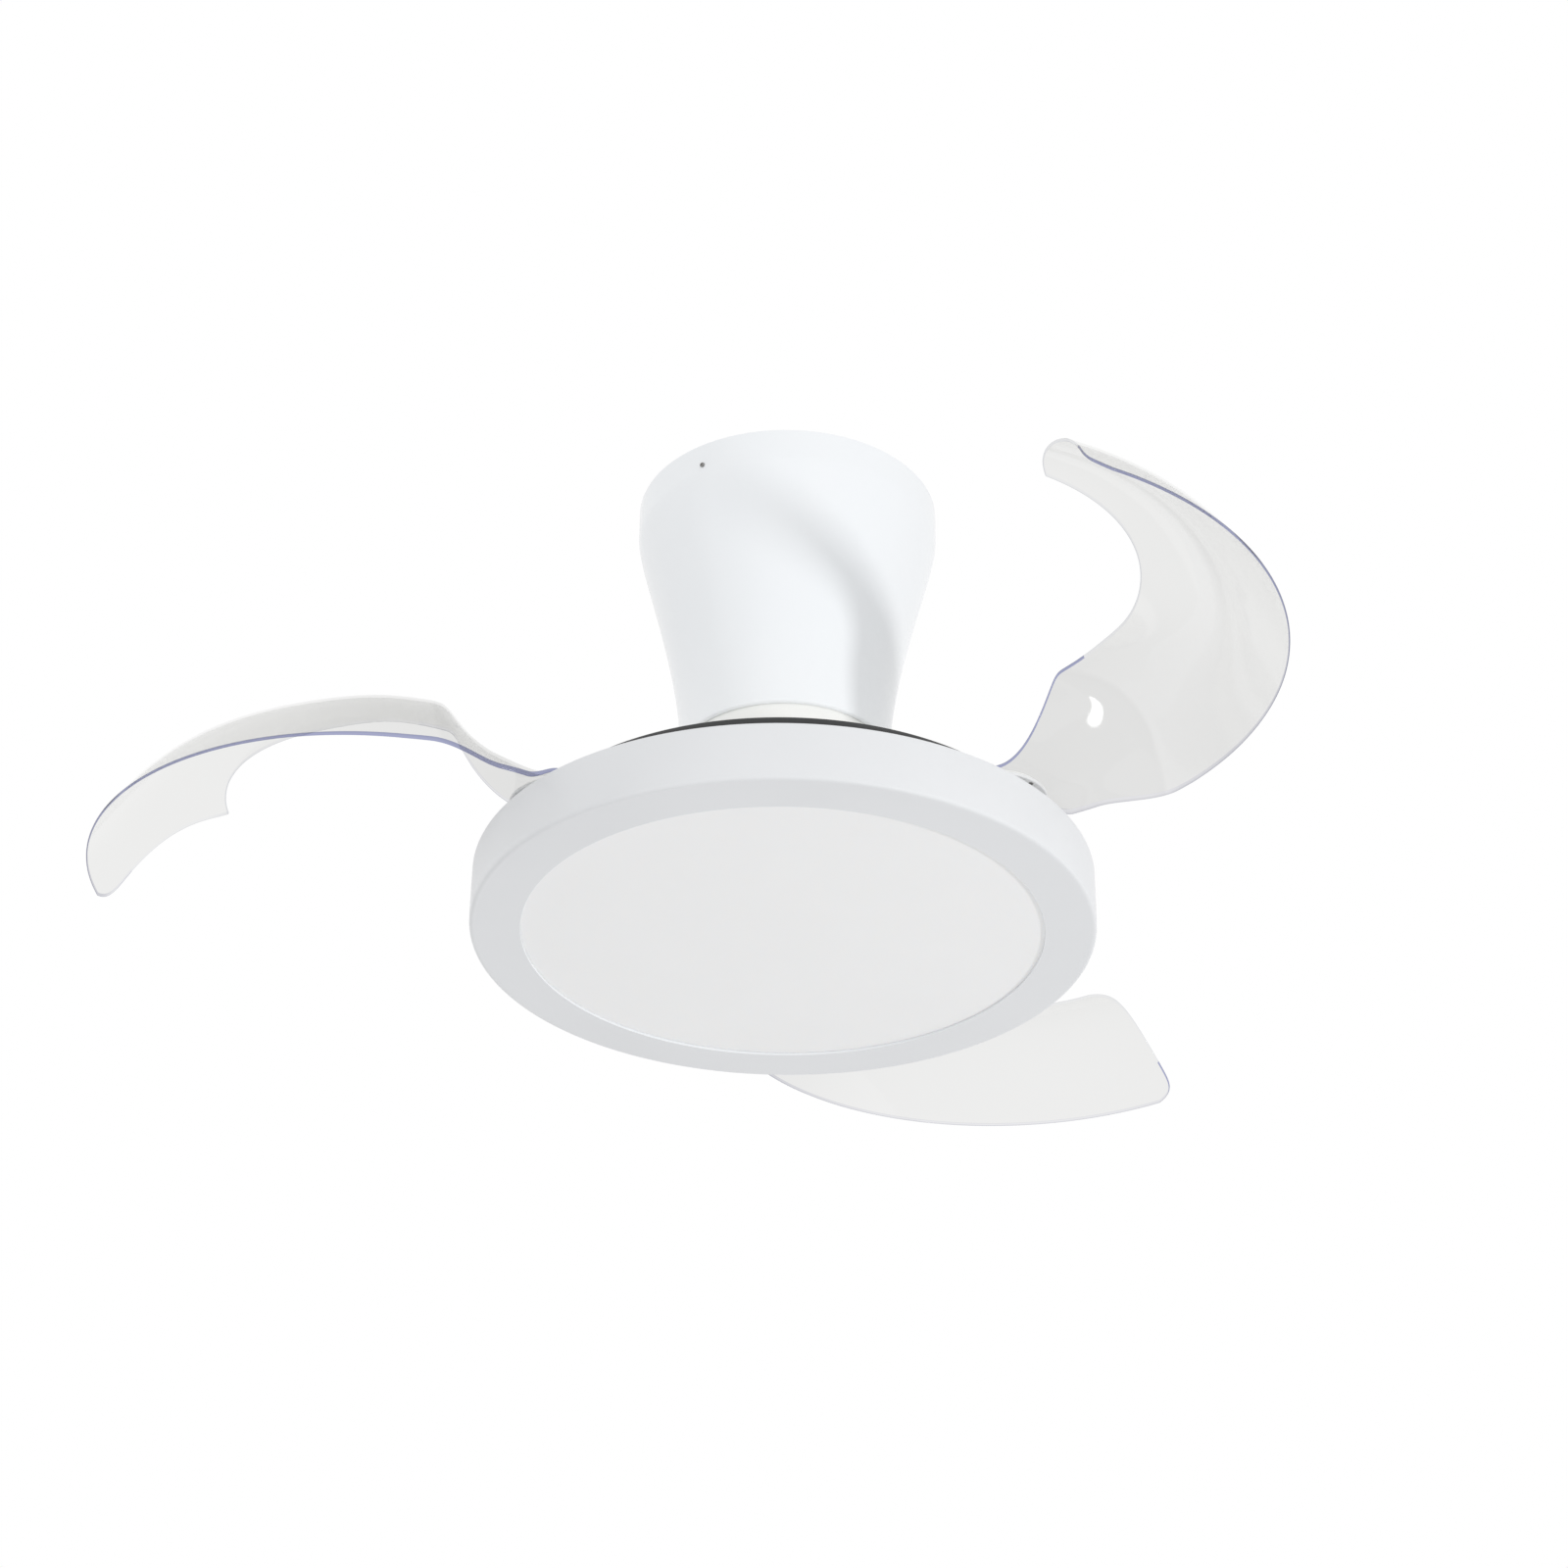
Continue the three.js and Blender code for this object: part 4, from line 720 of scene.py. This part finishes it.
# ------------------------ blade carrier
# A disc of pressed aluminium turns with the motor. Its shallow turned-down rim and its underside are
# satin black and show as the dark line over the lamp. Its upper face and the three round lobes that
# carry the blade pivots are white, and light up the motor.
CARRIER_RADIUS = 203.0
CARRIER_LOW = -317.2
CARRIER_TOP = -314.2
CARRIER_RIM = -321.0
CARRIER_RIM_WALL = 3.0
CARRIER_GAP = 0.3  # between the motor's hub and the plate around it
CARRIER_BEND = 0.4
CARRIER_EDGE = (0.3, 0.9)  # steps that round the outer edge: in from it, and up from its foot
CARRIER_TOP_EDGE = (0.4, 1.2)  # the same steps, down from the upper face
CARRIER_FLATS = (1.0, 2.5, 1.7)  # where flats start: from the rim, the outer edge and the hole
CARRIER_CHAMFER = 0.5
CARRIER_AROUND = 720
PALE_ROWS = 4  # rows of the upper face, from the edge inwards
LOBE_WALL = 6.0
LOBE_RADIUS = 34.0
PIVOT_CIRCLE = 184.5
PIVOT_AZIMUTHS = (-33.2, 86.8, 206.8)
HOUSING_RADIUS = 37.0
HOUSING_CLEARANCE = 0.6

black_paint = paint("satin_black", (0.03, 0.031, 0.032), (0.045, 0.045, 0.046), 0.4,
                    peel_scale=600.0)


def lobe_reach(angle, radius):
    """Distance from the axis to the far side of the nearest pivot's circle, at each angle.

    From the cosine rule, with d the angle to the nearest pivot: c cos d + sqrt(r² - (c sin d)²),
    and nothing where the ray misses the circle.
    """
    pivots = np.radians(PIVOT_AZIMUTHS)[:, None]
    apart = np.abs((angle - pivots + math.pi) % (2 * math.pi) - math.pi)
    inside = radius ** 2 - (PIVOT_CIRCLE * np.sin(apart)) ** 2
    reach = PIVOT_CIRCLE * np.cos(apart) + np.sqrt(np.maximum(inside, 0.0))
    return np.where((inside > 0.0) & (apart < math.pi / 2), reach, 0.0).max(axis=0)


carrier_angle = np.linspace(0.0, 2 * math.pi, CARRIER_AROUND, endpoint=False)
edge_reach = np.maximum(CARRIER_RADIUS, lobe_reach(carrier_angle, LOBE_RADIUS))
near_pivot = lobe_reach(carrier_angle, HOUSING_RADIUS + HOUSING_CLEARANCE) > 0.0
rim_foot = np.where(near_pivot, CARRIER_LOW, CARRIER_RIM)
rim_inner = np.where(near_pivot, edge_reach - LOBE_WALL, CARRIER_RADIUS - CARRIER_RIM_WALL)
hole = np.full_like(edge_reach, HUB_RADIUS + CARRIER_GAP)
near, far = CARRIER_EDGE
near_top, far_top = CARRIER_TOP_EDGE
from_rim, from_edge, from_hole = CARRIER_FLATS
carrier_rows = [
    (hole, CARRIER_LOW), (rim_inner - from_rim, CARRIER_LOW), (rim_inner, CARRIER_LOW),
    (rim_inner, rim_foot + CARRIER_BEND), (rim_inner + CARRIER_BEND, rim_foot),
    (edge_reach - far, rim_foot), (edge_reach - near, rim_foot + near),
    (edge_reach, rim_foot + far), (edge_reach, CARRIER_TOP - far_top),
    (edge_reach - near, CARRIER_TOP - near_top), (edge_reach - far, CARRIER_TOP),
    (edge_reach - from_edge, CARRIER_TOP), (hole + from_hole, CARRIER_TOP),
    (hole, CARRIER_TOP - CARRIER_CHAMFER)]
reach, height = np.array([np.broadcast_arrays(*row) for row in carrier_rows]).swapaxes(0, 1)
carrier_points = np.stack([reach * np.cos(carrier_angle), reach * np.sin(carrier_angle), height],
                          axis=-1)
pale_rows = np.arange(len(carrier_rows)) >= len(carrier_rows) - PALE_ROWS
carrier_slots = (pale_rows[:, None] | near_pivot[None, :]).astype(int).reshape(-1)
carrier = build_piece("blade_carrier_plate", carrier_points.reshape(-1, 3),
                      grid_quads(len(carrier_rows), CARRIER_AROUND, True, True)[:, ::-1],
                      [black_paint, warm_white], carrier_slots)
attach(carrier, "rotor")
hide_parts("blade_carrier")

# ------------------------ pivot housings and bushes
# Under each lobe a white moulded housing with a round flange holds an oil-filled bronze bush, in
# which the blade's pin turns. The gear teeth run below it.
HOUSING_LOW = -320.0
HOUSING_TOP = -317.5
HOUSING_BOSS = 13.0
HOUSING_BOSS_LOW = -325.2
HOUSING_BORE = 8.3
HOUSING_SCREWS = 3
HOUSING_SCREW_CIRCLE = 33.3
HOUSING_SCREW_ANGLE = -12.6  # of the first one, from the line that joins the axis and the pivot
HOUSING_SCREW = (1.9, 0.9, 0.8, 4.0)  # head radius and height, shank radius and length
HOUSING_SCREW_AROUND = 28
SMALL_AROUND = 72

bronze = metal("sintered_bronze", (0.4, 0.27, 0.13), (0.56, 0.4, 0.2), 0.45, 500.0, 160.0)


def place_at(radius, azimuth, height=0.0):
    """A place at a distance from the origin, towards an azimuth in degrees: r cos a, r sin a."""
    a = math.radians(azimuth)
    return np.array([radius * math.cos(a), radius * math.sin(a), height])


housing_corners = [
    [HOUSING_BORE, HOUSING_BOSS_LOW], [HOUSING_BOSS, HOUSING_BOSS_LOW],
    [HOUSING_BOSS + 1.0, HOUSING_LOW], [HOUSING_RADIUS, HOUSING_LOW],
    [HOUSING_RADIUS, HOUSING_TOP], [HOUSING_BORE, HOUSING_TOP]]
housing_profile = soft_profile(housing_corners, [0.4, 1.0, 1.2, 1.2, 0.5, 0.4])
points, faces = screw_points(*HOUSING_SCREW, HOUSING_SCREW_AROUND)
hung = points * [1.0, -1.0, -1.0]
for number, azimuth in enumerate(PIVOT_AZIMUTHS, start=1):
    pivot = place_at(PIVOT_CIRCLE, azimuth)
    housing = turned_ring(f"pivot_housing_cup_{number}", housing_profile, SMALL_AROUND,
                          [white_plastic], pivot)
    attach(housing, "rotor")
    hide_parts(f"pivot_housing_{number}")
    dress([f"pivot_bush_{number}"], bronze)
    for k in range(HOUSING_SCREWS):
        direction = azimuth + HOUSING_SCREW_ANGLE + 360.0 * k / HOUSING_SCREWS
        place = pivot + place_at(HOUSING_SCREW_CIRCLE, direction, HOUSING_LOW)
        screw = build_piece(f"housing_screw_{number}_{k + 1}", hung + place, faces, [dark_steel])
        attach(screw, "rotor")

# ------------------------ blades
# Each blade is one clear moulding, 2.6 mm thick. A flat root lies over the carrier; a riser lifts it
# to an arched body that cups over the lamp when it is folded. The outer edge looks violet.
#
# Angles are in degrees round the fan from the pivot, with the blade folded; s runs across the sheet,
# from 0 at its outer edge to 1 at its inner one.
BLADE_INNER = 138.8
BLADE_OUTER = 236.9
BLADE_WIDENING = 2.7  # of the outer edge, towards the tip
BLADE_THICKNESS = 2.6
ROOT_HALF = 32.0
ROOT_HEIGHT = -312.6
ROOT_BEAD = 2.4  # thickening under the outer edge, near the root
BEAD_WIDTH = 0.3
BEAD_END = 60.0
CREST = 54.3  # height of the body over the root
CREST_GAIN = 27.2
HUMP = 5.0
HUMP_ANGLE = 42.0
HUMP_SPREAD = 16.0
INNER_SAG = 18.0
DROP_START = 11.1  # how far the outer edge lies under the root
ARCH_START = 2.89  # powers of the arch across the body
ARCH_END = 1.79
TIP_ANGLE = 142.0
TIP_REACH = 3.0
TIP_SWEEP = 5.2
TIP_SWEEP_POWER = 8.5
TIP_ROUNDING = 4.5
TIP_ROUNDING_POWER = 30.0
RISER_START = 8.5  # foot of the riser, and its crease at both edges
RISER_INNER = 24.3
RISER_OUTER = 37.6
RISER_POWER = 1.4
RISER_INNER_POWER = 1.9
RISER_INNER_LEAD = 5.5
RISER_INNER_FADE = 3.0
CREASE_POWER = 0.8
CREASE_SOFTNESS = 0.035
# The riser and the body beyond its crease are painted greyer: a painted shade where the sheet turns
# from the light.
RISER_SHADE_EDGE = (31.4, 12.0, -16.5)  # where the riser's painted shade, greyer than the body, ends: a + b s + c s²
RISER_SHADE_STEP = 0.4  # share of the painted shade that ends at that line
RISER_SHADE_LINE = 1.0  # width of the line
RISER_SHADE_TRAIL = 48.0  # degrees over which the rest of the painted shade dies away
DIP_START = 6.5
DIP_END = 14.0
DIP_WIDTH = 0.24
FLARE_START = 19.1
FLARE_END = 33.6
FOLD_ANGLE = 107.5
EDGE_ROUNDING = 0.9
EDGE_INSET = 1.4
TIP_INSET = 2.0
ALONG = 320
ACROSS = 80
ROW_CROWDING = 1.1  # power that draws the rows together near the root
RIM_STEPS = 6
VIOLET_STEPS = 24  # steps of the tip's edge that the violet still covers
VIOLET_SHADE_LEVEL = 0.55  # share of the riser's painted shade from which the violet covers every edge
CLEAR, VIOLET, PALE = 0, 1, 2  # slots of the blade's materials


def unit(x):
    """The value, kept between 0 and 1."""
    return np.clip(x, 0.0, 1.0)


def ease(x):
    """Smooth step from 0 to 1: 3 x² - 2 x³."""
    x = unit(x)
    return x * x * (3 - 2 * x)


def mix(a, b, t):
    """The value that is a share t of the way from a to b."""
    return a + (b - a) * t


def root_dip(angle):
    """How far the outer edge has dipped under the root: a smooth step from 0 to 1."""
    return ease((angle - DIP_START) / (DIP_END - DIP_START))


def blade_radius(angle, s):
    """Distance from the fan's axis when folded: even steps from the outer edge to the inner.

    Both edges start at the root's width. The outer one swings out between two angles and widens with
    the square of the way to the tip; the inner one swings in until the crease.
    """
    along = unit((angle - RISER_OUTER) / (TIP_ANGLE - RISER_OUTER))
    flare = ease((angle - FLARE_START) / (FLARE_END - FLARE_START))
    draw = ease(angle / RISER_INNER)
    wide = BLADE_OUTER + BLADE_WIDENING * along ** 2
    outer = mix(PIVOT_CIRCLE + ROOT_HALF, wide, flare) - EDGE_INSET
    inner = mix(PIVOT_CIRCLE - ROOT_HALF, BLADE_INNER, draw) + EDGE_INSET
    return mix(outer, inner, s)


def riser_share(angle, s):
    """Share of the riser that lies behind: 0 at its foot and before, 1 at the crease, then more."""
    crease = mix(RISER_OUTER, RISER_INNER, s ** CREASE_POWER)
    foot = RISER_START - RISER_INNER_LEAD * s ** RISER_INNER_FADE
    return np.clip((angle - foot) / (crease - foot), 0.0, 3.0)


def blade_rise(angle, s):
    """Height over the root.

    Across the body it falls off from the crest as a power of the distance to the inner edge, and the
    crest climbs evenly to the tip, with a bell-shaped hump after the riser. Before the crease the
    height climbs as a power of the share of the riser that lies behind; the crease itself is softened
    by taking a smooth smaller value of that share and one.
    """
    along = unit((angle - RISER_OUTER) / (TIP_ANGLE - RISER_OUTER))
    drop = DROP_START * (1 - along)
    crest = (CREST + HUMP * np.exp(-((angle - HUMP_ANGLE) / HUMP_SPREAD) ** 2)
             + CREST_GAIN * along)
    arch = mix(ARCH_START, ARCH_END, along)
    body = crest - (crest + drop) * (1 - s) ** arch - INNER_SAG * along * s ** 2
    root = -DROP_START * root_dip(angle) * ease(1 - s / DIP_WIDTH)
    power = mix(RISER_POWER, RISER_INNER_POWER, s ** RISER_INNER_FADE)
    share = riser_share(angle, s)
    soft = -CREASE_SOFTNESS * np.logaddexp(-share / CREASE_SOFTNESS, -1 / CREASE_SOFTNESS)
    return mix(root, body, np.maximum(soft, 0.0) ** power)


def blade_grids():
    """Lower and upper surface points of a blade, folded, about its own pivot, and a painted-shade
    mask.

    Rows run from the root's half round to the swept tip, and columns lie closer towards both edges,
    as the cosine of an even turn. Each point stands at its angle and radius, at the rise's height.
    """
    s = (1 - np.cos(np.linspace(0.0, math.pi, ACROSS + 1)))[None, :] / 2
    t = np.linspace(0.0, 1.0, ALONG + 1)[:, None]
    inset = math.degrees(EDGE_INSET / PIVOT_CIRCLE)
    tip_inset = math.degrees(TIP_INSET / PIVOT_CIRCLE)
    rounded = np.sqrt(np.maximum(0.0, 1 - (2 * s - 1) ** 2))
    start = -np.degrees(ROOT_HALF * rounded / PIVOT_CIRCLE) + inset
    tip = (TIP_ANGLE + TIP_REACH * (1 - s) ** 3 - TIP_SWEEP * s ** TIP_SWEEP_POWER
           - TIP_ROUNDING * (1 - s) ** TIP_ROUNDING_POWER) - tip_inset
    angle = mix(start, tip, t ** ROW_CROWDING)
    radius = blade_radius(angle, s)
    rise = blade_rise(angle, s)
    bead = ROOT_BEAD * root_dip(angle) * unit(1 - s / BEAD_WIDTH) * unit(1 - angle / BEAD_END)
    turn_back = -np.radians(angle)
    x = radius * np.cos(turn_back) - PIVOT_CIRCLE
    y = radius * np.sin(turn_back)
    low = np.stack([x, y, ROOT_HEIGHT + rise - bead], axis=-1)
    high = np.stack([x, y, ROOT_HEIGHT + rise + BLADE_THICKNESS], axis=-1)
    # Painted shade on the riser: full on it, a step down at its edge, and a fade over the body
    # beyond.
    shade_edge = RISER_SHADE_EDGE[0] + RISER_SHADE_EDGE[1] * s + RISER_SHADE_EDGE[2] * s ** 2
    past_riser = angle - shade_edge
    ends_at_line = RISER_SHADE_STEP * ease(past_riser / RISER_SHADE_LINE + 0.5)
    dies_away = (1.0 - RISER_SHADE_STEP) * ease(past_riser / RISER_SHADE_TRAIL)
    return low, high, 1.0 - ends_at_line - dies_away


def blade_mesh():
    """Both faces of a blade and the round edge between them, with face slots and a painted-shade
    mask.

    The edge is swept along the boundary: its points swing from the upper face to the lower on a half
    ellipse that stands out level, at right angles to the boundary.
    """
    low, high, riser = blade_grids()
    rows, columns = low.shape[:2]
    surface = grid_quads(rows, columns)
    number = np.arange(rows * columns).reshape(rows, columns)
    outer_edge, tip_edge = number[:-1, 0], number[-1, :-1]
    inner_edge, root_edge = number[:0:-1, -1], number[0, :0:-1]
    border = np.concatenate([outer_edge, tip_edge, inner_edge, root_edge])
    flat_low, flat_high = low.reshape(-1, 3), high.reshape(-1, 3)
    middle = (flat_low[border] + flat_high[border]) / 2
    tangent = np.roll(middle, -1, axis=0) - np.roll(middle, 1, axis=0)
    outward = np.stack([-tangent[:, 1], tangent[:, 0], 0 * tangent[:, 0]], axis=-1)
    outward /= np.linalg.norm(outward, axis=1)[:, None]
    swing = np.linspace(0.0, math.pi, RIM_STEPS + 1)[1:-1, None, None]
    half = (flat_high[border] - flat_low[border]) / 2
    edge = middle + half * np.cos(swing) + outward * EDGE_ROUNDING * np.sin(swing)
    total, around = rows * columns, len(border)
    between = 2 * total + np.arange((RIM_STEPS - 1) * around).reshape(-1, around)
    rings = np.concatenate([[total + border], between, [border]])
    a, b = rings[:-1], rings[1:]
    strip = np.stack([a, np.roll(a, -1, axis=1), np.roll(b, -1, axis=1), b], axis=-1)
    points = np.concatenate([flat_low, flat_high, edge.reshape(-1, 3)])
    faces = np.concatenate([surface, surface[:, ::-1] + total, strip.reshape(-1, 4)])
    riser = riser.reshape(-1)
    place = np.arange(around)
    pale_start = len(outer_edge) + VIOLET_STEPS
    pale_end = len(outer_edge) + len(tip_edge) + len(inner_edge)
    pale = (place >= pale_start) & (place < pale_end) & (riser[border] < VIOLET_SHADE_LEVEL)
    slots = np.concatenate([np.full(2 * len(surface), CLEAR),
                            np.tile(np.where(pale, PALE, VIOLET), RIM_STEPS)])
    # The riser's painted shade for every point of the faces and the edge.
    mask = np.concatenate([riser, riser, np.tile(riser[border], RIM_STEPS - 1)])
    return points, faces, slots, mask


def clear_plastic(name, surface_values, across, along, riser_painted_shade=1.0, from_inside=None):
    """Clear moulded acrylic: pale where one looks across it, darker where one looks along it.

    Smears change the outer gloss, and faint flow waves from the mould stir the surface. The riser and
    the body near its crease are painted a shade greyer, a painted shade where the sheet turns from
    the light. An edge that is seen from inside the sheet can have another pair of colours.
    """
    material, tree, surface, place = start_material(name, surface_values)
    skin = place_group(tree, moulded, place, {"Grain Scale": 22.0})
    depth = node(tree, "ShaderNodeLayerWeight", {"Blend": 0.5}).outputs["Facing"]
    within = node(tree, "ShaderNodeNewGeometry").outputs["Backfacing"]
    colour = mixed(tree, depth, across, along)
    if from_inside:
        colour = mixed(tree, within, colour, mixed(tree, depth, *from_inside))
    # The riser's painted shade darkens the colour by the given share.
    riser = node(tree, "ShaderNodeAttribute", attribute_name="riser").outputs["Fac"]
    riser_shaded = mixed(tree, riser, colour, (riser_painted_shade,) * 3, blend_type="MULTIPLY")
    tree.links.new(riser_shaded, surface.inputs["Base Color"])
    gloss = node(tree, "ShaderNodeMix", {"B": 0.0}, data_type="FLOAT")
    tree.links.new(within, gloss.inputs["Factor"])
    tree.links.new(spread(tree, skin.outputs["Smears"], 1.0, 0.85), gloss.inputs["A"])
    tree.links.new(gloss.outputs["Result"], surface.inputs["Coat Weight"])
    bump(tree, surface, skin.outputs["Height"], 0.003, 0.0003)
    return material


see_through = {"Transmission Weight": 1.0, "IOR": 1.002, "Roughness": 0.0, "Coat Roughness": 0.08}
# The clear body's riser is painted 0.88 times as bright, a painted shade.
clear = clear_plastic("clear_blade_acrylic", see_through,
                      (0.86, 0.86, 0.855), (0.81, 0.81, 0.8), 0.88)
violet_edge = clear_plastic("violet_blade_edge", see_through,
                            (0.17, 0.19, 0.42), (0.001, 0.002, 0.03),
                            from_inside=((0.8, 0.8, 0.85), (0.01, 0.015, 0.1)))
pale_edge = clear_plastic("pale_blade_edge", see_through,
                          (0.85, 0.855, 0.87), (0.5, 0.51, 0.55))
blade_points, blade_faces, blade_slots, blade_riser_shade = blade_mesh()
for number, azimuth in enumerate(PIVOT_AZIMUTHS, start=1):
    opened = spun(blade_points, FOLD_ANGLE) + [PIVOT_CIRCLE, 0.0, 0.0]
    blade = build_piece(f"clear_blade_sheet_{number}", spun(opened, azimuth), blade_faces,
                        [clear, violet_edge, pale_edge], blade_slots)
    # The riser's painted shade goes onto each blade as a point attribute.
    riser_shade_mark = blade.data.attributes.new("riser", "FLOAT", "POINT")
    riser_shade_mark.data.foreach_set("value", blade_riser_shade)
    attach(blade, f"blade_arm_{number}")
    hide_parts(f"blade_{number}")

# ------------------------ blade clamps and pivot pins
# A round white clamp presses each root onto a nylon washer; three small screws go through both. The
# headed steel pin passes through the clamp, the blade and the bush, and carries the pinion.
CLAMP_LOW = -309.7
CLAMP_TOP = -305.7
CLAMP_RADIUS = 18.5
CLAMP_CHAMFER = (2.5, 1.5)  # inwards, and down
PIN_FIT_RADIUS = 5.3
CLAMP_SCREWS = 3
CLAMP_SCREW_CIRCLE = 12.8
CLAMP_SCREW_ANGLE = 60.0  # of the first one, from the folded blade's way out from the axis
CLAMP_SCREW = (2.4, 1.5, 1.2, 3.0)  # head radius and height, shank radius and length
CLAMP_SCREW_AROUND = 32

clamp_corners = [[PIN_FIT_RADIUS, CLAMP_LOW], [CLAMP_RADIUS, CLAMP_LOW],
                 [CLAMP_RADIUS, CLAMP_TOP - CLAMP_CHAMFER[1]],
                 [CLAMP_RADIUS - CLAMP_CHAMFER[0], CLAMP_TOP], [PIN_FIT_RADIUS, CLAMP_TOP]]
clamp_profile = soft_profile(clamp_corners, [0.3, 0.5, 1.0, 1.2, 0.4])
points, faces = screw_points(*CLAMP_SCREW, CLAMP_SCREW_AROUND)
for number, azimuth in enumerate(PIVOT_AZIMUTHS, start=1):
    pivot = place_at(PIVOT_CIRCLE, azimuth)
    clamp = turned_ring(f"blade_clamp_disc_{number}", clamp_profile, SMALL_AROUND,
                        [white_plastic], pivot)
    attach(clamp, f"blade_arm_{number}")
    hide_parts(f"blade_clamp_{number}")
    dress([f"pivot_pin_{number}"], bright_steel)
    for k in range(CLAMP_SCREWS):
        direction = azimuth + FOLD_ANGLE + CLAMP_SCREW_ANGLE + 360.0 * k / CLAMP_SCREWS
        place = pivot + place_at(CLAMP_SCREW_CIRCLE, direction, CLAMP_TOP)
        screw = build_piece(f"clamp_screw_{number}_{k + 1}", points + place, faces, [zinc])
        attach(screw, f"blade_arm_{number}")
